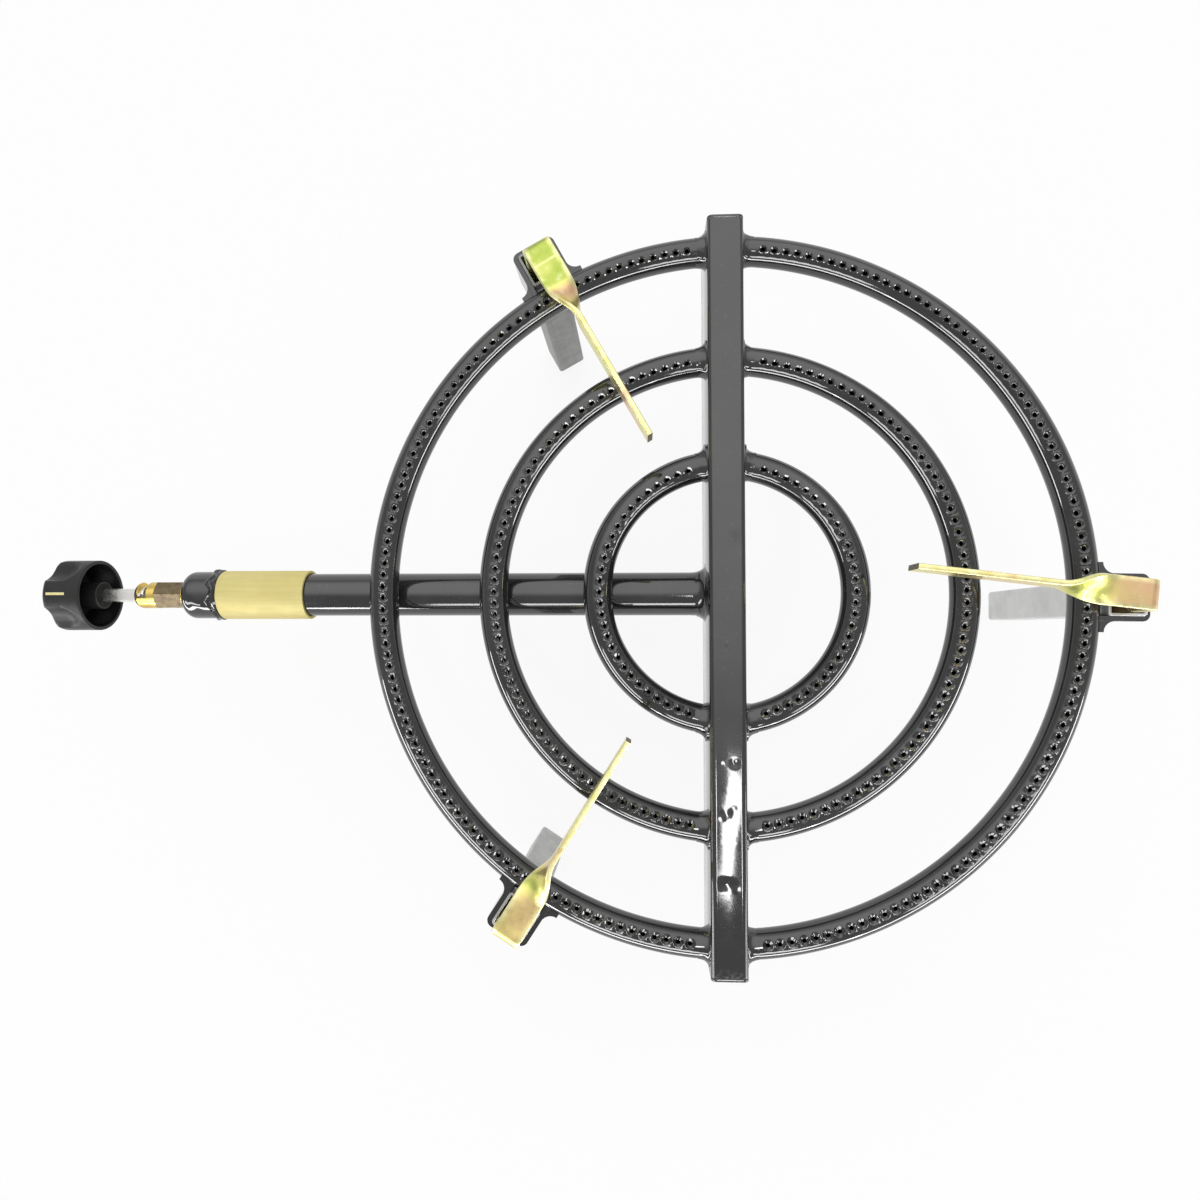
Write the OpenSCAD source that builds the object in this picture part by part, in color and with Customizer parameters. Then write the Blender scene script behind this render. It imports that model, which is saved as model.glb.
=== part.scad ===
// Three-ring paella burner with a gas tap, three legs and three lift-off pan supports.
// Sizes are in millimetres. The floor is at zero height and the tap points along the negative X axis.

/* [Rings] */
// Outside diameter of the outer ring
outer_ring_d = 400; // [370:1:450]
// Outside diameter of the middle ring
middle_ring_d = 275; // [240:1:310]
// Outside diameter of the inner ring
inner_ring_d = 158; // [130:1:190]
// Diameter of the ring tube
ring_tube_d = 16; // [13:0.5:18]
// Wall of the ring tube
ring_tube_wall = 1.5; // [1:0.1:2.5]
// Diameter of a flame port
port_d = 2.5; // [1.5:0.1:3.5]
// Spacing of the flame ports along a ring
port_pitch = 6.4; // [5.5:0.1:14]
// Plain length of a ring between the crossbar and its first port
port_margin = 11; // [8:0.5:20]
// Height of the ring plane above the floor
ring_plane_h = 140; // [120:1:200]
// Flare of the weld round each ring end
ring_weld_flare = 4; // [2:0.5:5]

/* [Crossbar] */
// Width of the crossbar
bar_w = 20; // [16:0.5:26]
// Wall of the crossbar
bar_wall = 2; // [1.2:0.1:2.6]
// Outside corner radius of the crossbar
bar_corner_r = 3; // [2.8:0.1:4]
// Height of the crossbar over the tops of the rings
bar_rise = 4; // [2:0.5:8]
// Depth of the crossbar below the feed tube
bar_drop = 4.7; // [4:0.1:10]
// Length of the crossbar past the outer ring at each end
bar_overhang = 7.5; // [4:0.5:20]
// Thickness of the plate that closes each end of the crossbar
end_plate_t = 2; // [1.5:0.1:3.5]

/* [Feed tube] */
// Diameter of the feed tube
feed_d = 25; // [22:0.5:28]
// Wall of the feed tube
feed_wall = 1.5; // [1:0.1:2.5]
// Gap between the feed tube and the rings above it
feed_gap = 0.3; // [0.1:0.1:0.9]
// Length of the feed tube past the outer ring
feed_past = 111; // [105:1:160]
// Flare of the weld where the feed tube meets the crossbar
feed_weld_flare = 5; // [3:0.5:6]
// Diameter of an air hole in the feed tube
air_hole_d = 12; // [8:0.5:16]
// Distance from the sleeve's closed end to the middle of the air holes
air_hole_inset = 17; // [12:0.5:24]

/* [End cap] */
// Wall of the cap round the feed tube
cap_wall = 1.5; // [1:0.1:2.5]
// Thickness of the cap's end
cap_end_t = 6.6; // [6:0.1:10]
// Length of feed tube inside the cap
cap_seat = 14.5; // [10:0.5:18]
// Radius of the cap's outer shoulder
cap_round = 6; // [3:0.5:6.4]
// Reach of the weld bead at the cap's rim
cap_weld_r = 1.6; // [1:0.1:2.5]

/* [Air sleeve] */
// Length of the air sleeve
sleeve_len = 52; // [44:1:56]
// Wall of the air sleeve
sleeve_wall = 1.8; // [1:0.1:2.5]
// Running gap between the sleeve and the feed tube
sleeve_gap = 0.1; // [0.05:0.05:0.3]
// Gap between the closed sleeve and the weld bead
sleeve_stop_gap = 0.3; // [0.2:0.1:1]
// Width of the split along the sleeve
sleeve_split = 2; // [1:0.5:4]

/* [Tap] */
// Diameter of the tap's flange on the cap
flange_d = 17; // [16:0.5:19]
// Thickness of the tap's flange
flange_t = 1; // [0.8:0.1:2]
// Size across the flats of the tap body
hex_af = 15; // [14.5:0.5:18]
// Length of the hexagonal tap body
hex_len = 16.8; // [16:0.1:22]
// Diameter of the bonnet
bonnet_d = 15.6; // [14.5:0.1:17]
// Length of the bonnet
bonnet_len = 13.5; // [13:0.1:18]
// Radius of the bonnet's outer edge
bonnet_round = 4; // [2:0.5:6]
// Travel of the knob when it is pushed in
push_travel = 3; // [2:0.1:3.2]
// Turn of the knob from off to low, in degrees
turn_range = 180; // [90:5:200]
// Diameter of the spindle
spindle_d = 8; // [6.5:0.1:9]
// Depth of the flat on the spindle
spindle_flat = 1.6; // [1:0.1:2]
// Length of spindle between the bonnet and the knob
spindle_show = 21.5; // [14:0.5:30]
// Diameter of the hose tail on the gas inlet
hose_tail_d = 10; // [8:0.5:12]
// Length of the hose tail
hose_tail_len = 24; // [18:0.5:32]

/* [Knob] */
// Diameter of the knob
knob_d = 42; // [38:0.5:50]
// Length of the knob
knob_len = 23; // [21:0.5:30]
// Wall of the knob
knob_wall = 2; // [1.5:0.1:2.6]
// Depth of the hollow in the back of the knob
knob_hollow = 15; // [12:0.5:17]
// Diameter of the knob's hub
knob_hub_d = 16; // [14:0.5:18]
// Height of the hub past the knob's rim
knob_hub_proud = 2; // [0.5:0.5:4]
// Radius of the knob's front edge
knob_round = 4; // [2:0.5:5]
// Radius of a finger flute
flute_r = 12; // [9:0.5:14]
// Depth of a finger flute
flute_depth = 5; // [3:0.5:6]

/* [Legs] */
// Width of a leg's square tube
leg_w = 20; // [19.5:0.5:25]
// Wall of a leg
leg_wall = 1.5; // [1:0.1:1.7]
// Outside corner radius of a leg
leg_corner_r = 2; // [1.8:0.1:3]
// Gap between the outer ring and a leg
leg_gap = 1; // [0.3:0.1:3]
// Height of a leg's open top over the ring plane
leg_rise = 8; // [6:0.5:14]
// Bearings of the legs round the rings, in degrees
leg_bearings = [-1, 119, 237]; // [-30:1:270]
// Thickness of the strap that holds a leg
strap_t = 2.8; // [2:0.1:4]
// Height of the strap
strap_h = 28; // [20:1:40]
// Height of the strap's top edge over the ring plane
strap_rise = 5.5; // [5.5:0.5:11]
// Outside corner radius of the strap
strap_corner_r = 4; // [2.5:0.5:5]
// Reach of the welds between a strap and the ring
strap_weld_reach = 6; // [4:0.5:8]
// Height of the welds between a strap and the ring
strap_weld_h = 10; // [6:0.5:12]

/* [Pan supports] */
// Width of the flat bar
flat_w = 16; // [12:0.5:16.3]
// Thickness of the flat bar
flat_t = 3; // [2:0.5:4]
// Height of the bent bar's middle over the ring plane
paddle_rise = 28.5; // [24:0.5:40]
// Radius of the bend at the middle of the bar
bend_r = 4; // [3.5:0.5:8]
// Length of the flat paddle after the bend
paddle_len = 16; // [10:0.5:25]
// Length of the quarter twist
twist_len = 30; // [20:0.5:40]
// Length of the straight arm
arm_len = 72; // [50:0.5:85]
// Length of a support's tail inside its leg
tail_depth = 60; // [40:1:80]
// Turn of each support in its leg, in degrees
support_skews = [-6, 1, 1]; // [-8:1:8]
// How far each support stands out from the middle of its leg
support_shifts = [3, 1, 5.5]; // [0:0.5:5.5]

/* [Hidden] */
$fn = 96;
// Facets of a ring's round in a preview
ring_fn = 360;
// Length by which cutting shapes run past what they cut
overrun = 1;
// Smallest inside corner radius
least_corner_r = 0.4;

// Rings
ring_tube_r = ring_tube_d / 2;
ring_bore_r = ring_tube_r - ring_tube_wall;
outer_r = outer_ring_d / 2 - ring_tube_r;
middle_r = middle_ring_d / 2 - ring_tube_r;
inner_r = inner_ring_d / 2 - ring_tube_r;
ring_radii = [outer_r, middle_r, inner_r];
// Radius of a weld's hollow face and how far the weld runs on along its tube, as shares of its flare
weld_hollow_share = 3;
weld_run_share = 1.5;

// Feed tube, cap and sleeve
feed_r = feed_d / 2;
feed_z = -(ring_tube_r + feed_gap + feed_r);
feed_reach = outer_ring_d / 2 + feed_past;
cap_r = feed_r + cap_wall;
sleeve_start = cap_seat + cap_weld_r + sleeve_stop_gap;
sleeve_bore_r = feed_r + sleeve_gap;
air_hole_turns = [45, 135];

// Crossbar
bar_top = ring_tube_r + bar_rise;
bar_bottom = feed_z - feed_r - bar_drop;
bar_h = bar_top - bar_bottom;
bar_len = outer_ring_d + 2 * bar_overhang;

// Tap, measured outwards from the cap's outer face
hex_start = flange_t;
bonnet_start = hex_start + hex_len;
bonnet_end = bonnet_start + bonnet_len;
bonnet_end_t = 3;
bonnet_bore_r = 5.5;
skirt_r = 6.2;
skirt_len = 3;
spindle_r = spindle_d / 2;
spindle_gap = 0.1;
collar_gap = 0.1;
collar_t = 2.5;
collar_r = bonnet_bore_r - 2 * spindle_gap;
collar_top = bonnet_end - bonnet_end_t - collar_gap;
collar_bottom = collar_top - collar_t;
pin_d = 2;
pin_at = collar_top - collar_t / 2;
pin_root_r = 2.5;
pin_sink = 0.4;
pin_tip_r = bonnet_d / 2 - pin_sink;
window_gap = 0.4;
window_start = pin_at - push_travel - pin_d / 2 - window_gap;
window_end = pin_at + pin_d / 2 + window_gap;
window_side = asin((pin_d / 2 + window_gap) / bonnet_bore_r);
plug_gap = 0.05;
plug_base = 3;
plug_small_r = 4;
plug_big_r = 5;
plug_cone_top = bonnet_start - skirt_len;
plug_top_gap = 1;
plug_top = bonnet_start - plug_top_gap;
tongue_t = 2.3;
tongue_w = 7;
tongue_gap = 0.1;
tongue_in = 3.6;
tongue_end = plug_top - tongue_in;
slot_bottom = tongue_end - push_travel - window_gap;
gas_way_d = 4;
spigot_d = 10;
spigot_past = 5;
spigot_len = cap_end_t + spigot_past;
jet_thread_d = 6;
jet_thread_len = 5;
jet_af = 8;
jet_hex_len = 5;
jet_tip_len = 4;
jet_tip_d = 3;
jet_hole_d = 1.2;
jet_bore_d = 3;
inlet_share = 0.3274;
inlet_at = hex_start + inlet_share * hex_len;
inlet_boss_d = 12;
inlet_boss_len = 13;
inlet_thread_d = 8;
inlet_thread_len = 5;
washer_d = 13;
washer_t = 1.2;
nut_af = 14;
nut_t = 5;
tail_bore_d = 5;
tail_chamfer = 1;
groove_depth = 0.7;
groove_half = 1;
groove_shares = [0.3, 0.52, 0.74];
spring_wire_d = 0.8;
spring_turns = 3;
spring_steps = 8;
spring_sides = 6;
spring_clear = 0.15;
spring_r = bonnet_bore_r - spring_wire_d - spring_clear;
spring_len = collar_bottom - push_travel - plug_top - 2 * spring_clear;

// Knob
knob_r = knob_d / 2;
hub_face = bonnet_end + spindle_show;
knob_rim = hub_face + knob_hub_proud;
knob_front = knob_rim + knob_len;
flute_pitch_r = knob_r - flute_depth + flute_r;
flute_start_share = 0.6087;
flute_start = knob_rim + flute_start_share * knob_len;
flute_turns = [45, 135, 225, 315];
bore_gap = 0.05;
spindle_in_knob = 12;
spindle_end = hub_face + spindle_in_knob;
pointer_len = 11;
pointer_w = 1.5;
pointer_t = 1;
pointer_proud = 0.2;

// Legs, straps and supports
leg_r = outer_ring_d / 2 + leg_gap + leg_w / 2;
leg_bore = leg_w - 2 * leg_wall;
stop_t = 2;
stop_top = leg_rise - tail_depth;
strap_cope = 3;
strap_half = leg_w / 2 + strap_t;
strap_in = -(leg_w / 2 + leg_gap + strap_cope);
twist_slices = 30;
twist_segments = 16;

// Place of the ring centre, which puts the middle of the whole burner at zero
right_bearing = abs(leg_bearings[0]);
tap_extent = feed_reach + cap_end_t + knob_front;
strap_extent = (leg_r + strap_half - strap_corner_r) * cos(right_bearing)
    + (strap_half - strap_corner_r) * sin(right_bearing) + strap_corner_r;
ring_x = (tap_extent - strap_extent) / 2;

// Colours
enamel = "#3b3b3d";
brass = "#d9bd5c";
sleeve_brass = "#d6c76f";
chromate = "#c6c76c";
zinc = "#93938e";
bright_steel = "#d7d5cd";
knob_black = "#404042";
pointer_yellow = "#efe6a2";
fibre = "#7a4a36";

// Frame of the rings, with its origin at their common centre
module at_rings() {
    translate([ring_x, 0, ring_plane_h]) children();
}

// Frame of the feed tube, from its open end towards the crossbar along the local Z axis
module at_feed() {
    at_rings() translate([-feed_reach, 0, feed_z]) rotate([0, 90, 0]) children();
}

// Frame of the tap, outwards along the local Z axis from the cap's face, with the local X axis up
module at_tap() {
    at_rings() translate([-feed_reach - cap_end_t, 0, feed_z]) rotate([0, -90, 0]) children();
}

// Frame of the gas inlet, downwards along the local Z axis from the tap's axis
module at_inlet() {
    at_tap() translate([0, 0, inlet_at]) rotate([0, -90, 0]) children();
}

// Frame of one leg, with the local X axis pointing away from the rings
module at_leg(place) {
    rotate(leg_bearings[place]) translate([leg_r, 0, 0]) children();
}

// Rectangle with round corners
module rounded_rect(width, height, corner_r) {
    square([width - 2 * corner_r, height], center = true);
    square([width, height - 2 * corner_r], center = true);
    for (side = [-1, 1], end = [-1, 1]) {
        translate([side * (width / 2 - corner_r), end * (height / 2 - corner_r)]) circle(r = corner_r);
    }
}

// Half section of a round bar with one rounded end
module round_bar_section(bar_r, length, round_r) {
    square([bar_r, length - round_r]);
    square([bar_r - round_r, length]);
    intersection() {
        translate([bar_r - round_r, length - round_r]) circle(r = round_r);
        square([bar_r, length]);
    }
}

// Solid ring of round bar
module ring_solid(radius, tube_r) {
    rotate_extrude($fn = ring_fn) translate([radius, 0]) circle(r = tube_r);
}

// Half of a burner ring, with its row of flame ports along the top
module half_ring(radius, turn) {
    margin_angle = asin((bar_w / 2 + port_margin) / radius);
    port_span = 180 - 2 * margin_angle;
    port_steps = floor(port_span / 360 * 2 * PI * radius / port_pitch);
    rotate(turn) difference() {
        intersection() {
            ring_solid(radius, ring_tube_r);
            translate([bar_w / 2, -outer_ring_d, -ring_tube_d]) {
                cube([outer_ring_d, 2 * outer_ring_d, 2 * ring_tube_d]);
            }
        }
        ring_solid(radius, ring_bore_r);
        for (step = [0:port_steps]) {
            rotate(margin_angle - 90 + port_span * step / port_steps) translate([radius, 0, 0]) {
                cylinder(d = port_d, h = ring_tube_d);
            }
        }
    }
}

// Weld round the end of a tube, with a hollow face, standing on the local XY plane
module weld_collar(tube_r, flare) {
    hollow_r = weld_hollow_share * flare;
    half_chord = flare / sqrt(2);
    middle = flare / 2 + sqrt(hollow_r * hollow_r - half_chord * half_chord) / sqrt(2);
    rotate_extrude() difference() {
        translate([0, -flare]) square([tube_r + flare, (1 + weld_run_share) * flare]);
        translate([tube_r + middle, middle]) circle(r = hollow_r);
    }
}

// Block as wide as the crossbar and taller than anything that meets it
module bar_block() {
    translate([-bar_w / 2, -bar_len / 2, bar_bottom - overrun]) {
        cube([bar_w, bar_len, bar_h + 2 * overrun]);
    }
}

// Slab between the flat stretches of the crossbar's sides
module bar_flat_slab() {
    translate([-outer_ring_d, -bar_len / 2, bar_bottom + bar_corner_r]) {
        cube([2 * outer_ring_d, bar_len, bar_h - 2 * bar_corner_r]);
    }
}

// Bar along the Y axis with the crossbar's outline less an inset
module bar_stock(inset, length) {
    rotate([90, 0, 0]) linear_extrude(length, center = true) translate([0, bar_top - bar_h / 2]) {
        corner_r = max(bar_corner_r - inset, least_corner_r);
        rounded_rect(bar_w - 2 * inset, bar_h - 2 * inset, corner_r);
    }
}

module crossbar() {
    color(enamel) at_rings() difference() {
        bar_stock(0, bar_len - 2 * end_plate_t);
        bar_stock(bar_wall, bar_len);
        for (radius = ring_radii, side = [-1, 1]) {
            translate([-bar_w, side * sqrt(radius * radius - bar_w * bar_w / 4), 0]) rotate([0, 90, 0]) {
                cylinder(r = ring_bore_r, h = 2 * bar_w);
            }
        }
        translate([-bar_w, 0, feed_z]) rotate([0, 90, 0]) cylinder(r = feed_r - feed_wall, h = bar_w);
    }
}

module crossbar_end_plates() {
    color(enamel) at_rings() for (side = [-1, 1]) {
        translate([0, side * (bar_len - end_plate_t) / 2, 0]) bar_stock(0, end_plate_t);
    }
}

module outer_ring_left() {
    color(enamel) at_rings() half_ring(outer_r, 180);
}

module outer_ring_right() {
    color(enamel) at_rings() half_ring(outer_r, 0);
}

module middle_ring_left() {
    color(enamel) at_rings() half_ring(middle_r, 180);
}

module middle_ring_right() {
    color(enamel) at_rings() half_ring(middle_r, 0);
}

module inner_ring_left() {
    color(enamel) at_rings() half_ring(inner_r, 180);
}

module inner_ring_right() {
    color(enamel) at_rings() half_ring(inner_r, 0);
}

// Weld collars where the six half rings meet the crossbar
module ring_welds() {
    color(enamel) at_rings() for (radius = ring_radii) {
        lean = asin(bar_w / 2 / radius);
        intersection() {
            difference() {
                for (side = [0, 180], end = [-1, 1]) {
                    rotate(side) rotate(end * (90 - lean)) translate([radius, 0, 0]) rotate([end * 90, 0, 0]) {
                        weld_collar(ring_tube_r, ring_weld_flare);
                    }
                }
                ring_solid(radius, ring_tube_r);
                bar_block();
            }
            bar_flat_slab();
        }
    }
}

module feed_tube() {
    color(enamel) at_feed() difference() {
        cylinder(r = feed_r, h = feed_reach - bar_w / 2);
        translate([0, 0, -overrun]) cylinder(r = feed_r - feed_wall, h = feed_reach);
        for (turn = air_hole_turns) {
            translate([0, 0, sleeve_start + air_hole_inset]) rotate([90, 0, turn]) {
                cylinder(d = air_hole_d, h = 2 * feed_d, center = true);
            }
        }
    }
}

// Weld collar where the feed tube meets the crossbar
module feed_weld() {
    color(enamel) at_rings() intersection() {
        translate([-bar_w / 2, 0, feed_z]) rotate([0, -90, 0]) difference() {
            weld_collar(feed_r, feed_weld_flare);
            translate([0, 0, -feed_d]) cylinder(r = feed_r, h = 2 * feed_d);
            translate([-feed_d, -feed_d, -feed_d]) cube([2 * feed_d, 2 * feed_d, feed_d]);
        }
        bar_flat_slab();
    }
}

module tube_end_cap() {
    color(enamel) at_feed() difference() {
        translate([0, 0, cap_seat]) rotate([180, 0, 0]) rotate_extrude() {
            round_bar_section(cap_r, cap_seat + cap_end_t, cap_round);
        }
        cylinder(r = feed_r, h = cap_seat + overrun);
        translate([0, 0, -cap_end_t - overrun]) cylinder(d = spigot_d, h = cap_end_t + 2 * overrun);
    }
}

// Weld bead between the cap's rim and the feed tube
module cap_weld() {
    color(enamel) at_feed() translate([0, 0, cap_seat]) rotate_extrude() intersection() {
        translate([feed_r + cap_wall / 2, 0]) circle(r = cap_weld_r);
        translate([feed_r, 0]) square([2 * cap_weld_r + cap_wall, cap_weld_r]);
    }
}

module air_sleeve() {
    color(sleeve_brass) at_feed() translate([0, 0, sleeve_start]) difference() {
        cylinder(r = sleeve_bore_r + sleeve_wall, h = sleeve_len);
        translate([0, 0, -overrun]) cylinder(r = sleeve_bore_r, h = sleeve_len + 2 * overrun);
        translate([0, -sleeve_split / 2, -overrun]) {
            cube([feed_d, sleeve_split, sleeve_len + 2 * overrun]);
        }
    }
}

// Gas jet screwed into the tap's outlet, inside the feed tube
module injector() {
    color(brass) at_tap() mirror([0, 0, 1]) translate([0, 0, spigot_len]) difference() {
        union() {
            translate([0, 0, -jet_thread_len]) cylinder(d = jet_thread_d, h = jet_thread_len);
            cylinder(d = jet_af / cos(30), h = jet_hex_len, $fn = 6);
            translate([0, 0, jet_hex_len]) cylinder(d1 = jet_af, d2 = jet_tip_d, h = jet_tip_len);
        }
        translate([0, 0, -jet_thread_len - overrun]) {
            cylinder(d = jet_bore_d, h = jet_thread_len + jet_hex_len + overrun);
        }
        cylinder(d = jet_hole_d, h = jet_hex_len + jet_tip_len + overrun);
    }
}

module tap_body() {
    color(brass) difference() {
        union() {
            at_tap() {
                cylinder(d = flange_d, h = flange_t);
                translate([0, 0, hex_start]) cylinder(d = hex_af / cos(30), h = hex_len, $fn = 6);
                translate([0, 0, -spigot_len]) cylinder(d = spigot_d, h = spigot_len + flange_t);
            }
            at_inlet() cylinder(d = inlet_boss_d, h = inlet_boss_len);
        }
        at_tap() {
            translate([0, 0, plug_base]) {
                cylinder(r1 = plug_small_r + plug_gap, r2 = plug_big_r + plug_gap, h = plug_cone_top - plug_base);
            }
            translate([0, 0, plug_cone_top]) cylinder(r = skirt_r, h = skirt_len + overrun);
            translate([0, 0, -spigot_len]) cylinder(d = gas_way_d, h = spigot_len + plug_base + overrun);
            translate([0, 0, -spigot_len - overrun]) cylinder(d = jet_thread_d, h = jet_thread_len + overrun);
        }
        at_inlet() {
            cylinder(d = gas_way_d, h = inlet_boss_len);
            translate([0, 0, inlet_boss_len - inlet_thread_len]) {
                cylinder(d = inlet_thread_d, h = inlet_thread_len + overrun);
            }
        }
    }
}

// Bonnet over the plug, with the window that the spindle's pin turns in
module tap_bonnet() {
    color(brass) at_tap() difference() {
        union() {
            translate([0, 0, bonnet_start]) rotate_extrude() {
                round_bar_section(bonnet_d / 2, bonnet_len, bonnet_round);
            }
            translate([0, 0, plug_cone_top]) cylinder(r = skirt_r, h = skirt_len + overrun);
        }
        translate([0, 0, plug_cone_top - overrun]) {
            cylinder(r = bonnet_bore_r, h = bonnet_end - bonnet_end_t - plug_cone_top + overrun);
        }
        translate([0, 0, bonnet_end - bonnet_end_t - overrun]) {
            cylinder(r = spindle_r + spindle_gap, h = bonnet_end_t + 2 * overrun);
        }
        rotate(-window_side) rotate_extrude(angle = turn_range + 2 * window_side) {
            translate([bonnet_bore_r - overrun, window_start]) square([bonnet_d / 2, window_end - window_start]);
        }
    }
}

// Tapered plug, whose side hole meets the inlet a quarter turn from off
module tap_plug() {
    color(brass) at_tap() difference() {
        union() {
            translate([0, 0, plug_base]) {
                cylinder(r1 = plug_small_r, r2 = plug_big_r, h = plug_cone_top - plug_base);
            }
            translate([0, 0, plug_cone_top]) cylinder(r = plug_big_r, h = plug_top - plug_cone_top);
        }
        translate([0, 0, plug_base - overrun]) {
            cylinder(d = gas_way_d, h = inlet_at + gas_way_d / 2 - plug_base + overrun);
        }
        translate([0, 0, inlet_at]) rotate([-90, 0, 0]) cylinder(d = gas_way_d, h = 2 * plug_big_r);
        translate([-tongue_t / 2 - tongue_gap, -tongue_w / 2 - tongue_gap, slot_bottom]) {
            cube([tongue_t + 2 * tongue_gap, tongue_w + 2 * tongue_gap, plug_top - slot_bottom + overrun]);
        }
    }
}

// One ring of points round the spring's wire
function spring_ring(step) =
    let (turn = 360 * step / spring_steps)
    let (climb = (spring_len - spring_wire_d) * step / (spring_steps * spring_turns))
    [
        for (side = [0:spring_sides - 1])
        let (round_turn = 360 * side / spring_sides)
        let (radius = spring_r + spring_wire_d / 2 * cos(round_turn))
        [
            radius * cos(turn),
            radius * sin(turn),
            climb + spring_wire_d / 2 + spring_wire_d / 2 * sin(round_turn)
        ]
    ];

// Return spring of the knob, drawn at its pushed-in length on top of the plug
module plug_spring() {
    last = spring_steps * spring_turns;
    points = [for (step = [0:last]) each spring_ring(step)];
    walls = [
        for (step = [0:last - 1], side = [0:spring_sides - 1])
        let (next = (side + 1) % spring_sides)
        let (low = step * spring_sides)
        let (high = low + spring_sides)
        each [[low + side, high + side, high + next], [low + side, high + next, low + next]]
    ];
    start_cap = [for (side = [1:spring_sides - 2]) [0, side, side + 1]];
    end_base = last * spring_sides;
    end_cap = [for (side = [1:spring_sides - 2]) [end_base, end_base + side + 1, end_base + side]];
    color(bright_steel) at_tap() translate([0, 0, plug_top + spring_clear]) {
        polyhedron(points = points, faces = concat(walls, start_cap, end_cap));
    }
}

module inlet_washer() {
    color(fibre) at_inlet() translate([0, 0, inlet_boss_len]) difference() {
        cylinder(d = washer_d, h = washer_t);
        translate([0, 0, -overrun]) cylinder(d = inlet_thread_d, h = washer_t + 2 * overrun);
    }
}

// Hose nozzle screwed into the tap's inlet, with grooves that grip the hose
module hose_nozzle() {
    tail_start = inlet_boss_len + washer_t + nut_t;
    tail_r = hose_tail_d / 2;
    color(brass) at_inlet() difference() {
        union() {
            translate([0, 0, inlet_boss_len - inlet_thread_len]) {
                cylinder(d = inlet_thread_d, h = inlet_thread_len + washer_t + nut_t);
            }
            translate([0, 0, inlet_boss_len + washer_t]) cylinder(d = nut_af / cos(30), h = nut_t, $fn = 6);
            translate([0, 0, tail_start]) cylinder(d = hose_tail_d, h = hose_tail_len - tail_chamfer);
            translate([0, 0, tail_start + hose_tail_len - tail_chamfer]) {
                cylinder(r1 = tail_r, r2 = tail_r - tail_chamfer, h = tail_chamfer);
            }
        }
        translate([0, 0, inlet_boss_len - inlet_thread_len - overrun]) {
            cylinder(d = tail_bore_d, h = tail_start + hose_tail_len);
        }
        for (share = groove_shares) {
            translate([0, 0, tail_start + share * hose_tail_len]) rotate_extrude() polygon([
                [tail_r - groove_depth, 0],
                [tail_r + overrun, -groove_half * (groove_depth + overrun) / groove_depth],
                [tail_r + overrun, groove_half * (groove_depth + overrun) / groove_depth]
            ]);
        }
    }
}

// Outline of the spindle or of its bore, with a flat on top
module spindle_outline(gap) {
    difference() {
        circle(r = spindle_r + gap);
        translate([spindle_r - spindle_flat + gap, -spindle_d]) square([spindle_d, 2 * spindle_d]);
    }
}

module spindle() {
    color(bright_steel) at_tap() difference() {
        union() {
            translate([-tongue_t / 2, -tongue_w / 2, tongue_end]) {
                cube([tongue_t, tongue_w, collar_bottom - tongue_end]);
            }
            translate([0, 0, collar_bottom]) cylinder(r = collar_r, h = collar_t);
            translate([0, 0, collar_top]) cylinder(r = spindle_r, h = bonnet_end - collar_top);
            translate([0, 0, bonnet_end]) linear_extrude(spindle_end - bonnet_end) spindle_outline(0);
        }
        translate([pin_root_r, 0, pin_at]) rotate([0, 90, 0]) cylinder(d = pin_d, h = bonnet_d);
    }
}

module spindle_pin() {
    color(bright_steel) at_tap() translate([pin_root_r, 0, pin_at]) rotate([0, 90, 0]) {
        cylinder(d = pin_d, h = pin_tip_r - pin_root_r);
    }
}

// Finger flutes of the knob, widened by the given wall
module knob_flutes(wall) {
    for (turn = flute_turns) {
        rotate(turn) translate([flute_pitch_r, 0, flute_start]) {
            cylinder(r = flute_r + wall, h = knob_len);
            sphere(r = flute_r + wall);
        }
    }
}

// Box of the pointer let into the knob's top
module pointer_box(length) {
    translate([knob_r - pointer_t + pointer_proud, -pointer_w / 2, knob_front - knob_round - pointer_len]) {
        cube([length, pointer_w, pointer_len]);
    }
}

module knob() {
    color(knob_black) at_tap() difference() {
        union() {
            difference() {
                translate([0, 0, knob_rim]) rotate_extrude() {
                    round_bar_section(knob_r, knob_len, knob_round);
                }
                knob_flutes(0);
                difference() {
                    translate([0, 0, knob_rim - overrun]) {
                        cylinder(r = knob_r - knob_wall, h = knob_hollow + overrun);
                    }
                    knob_flutes(knob_wall);
                }
            }
            translate([0, 0, hub_face]) cylinder(d = knob_hub_d, h = knob_hub_proud + knob_hollow + overrun);
        }
        translate([0, 0, hub_face - overrun]) {
            linear_extrude(spindle_in_knob + overrun + bore_gap) spindle_outline(bore_gap);
        }
        pointer_box(pointer_t + overrun);
    }
}

module knob_pointer() {
    color(pointer_yellow) at_tap() pointer_box(pointer_t);
}

// Strap bent round a leg, with its sides cut to fit the outer ring
module bracket(place) {
    color(enamel) at_rings() difference() {
        at_leg(place) translate([0, 0, strap_rise - strap_h]) linear_extrude(strap_h) difference() {
            union() {
                translate([strap_in, -strap_half]) square([strap_half - strap_corner_r - strap_in, 2 * strap_half]);
                translate([strap_in, strap_corner_r - strap_half]) {
                    square([strap_half - strap_in, 2 * (strap_half - strap_corner_r)]);
                }
                for (side = [-1, 1]) {
                    translate([strap_half - strap_corner_r, side * (strap_half - strap_corner_r)]) {
                        circle(r = strap_corner_r);
                    }
                }
            }
            translate([strap_in - overrun, -leg_w / 2]) square([leg_w / 2 - strap_in + overrun, leg_w]);
        }
        ring_solid(outer_r, ring_tube_r);
    }
}

module bracket_right() {
    bracket(0);
}

module bracket_rear() {
    bracket(1);
}

module bracket_front() {
    bracket(2);
}

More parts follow.
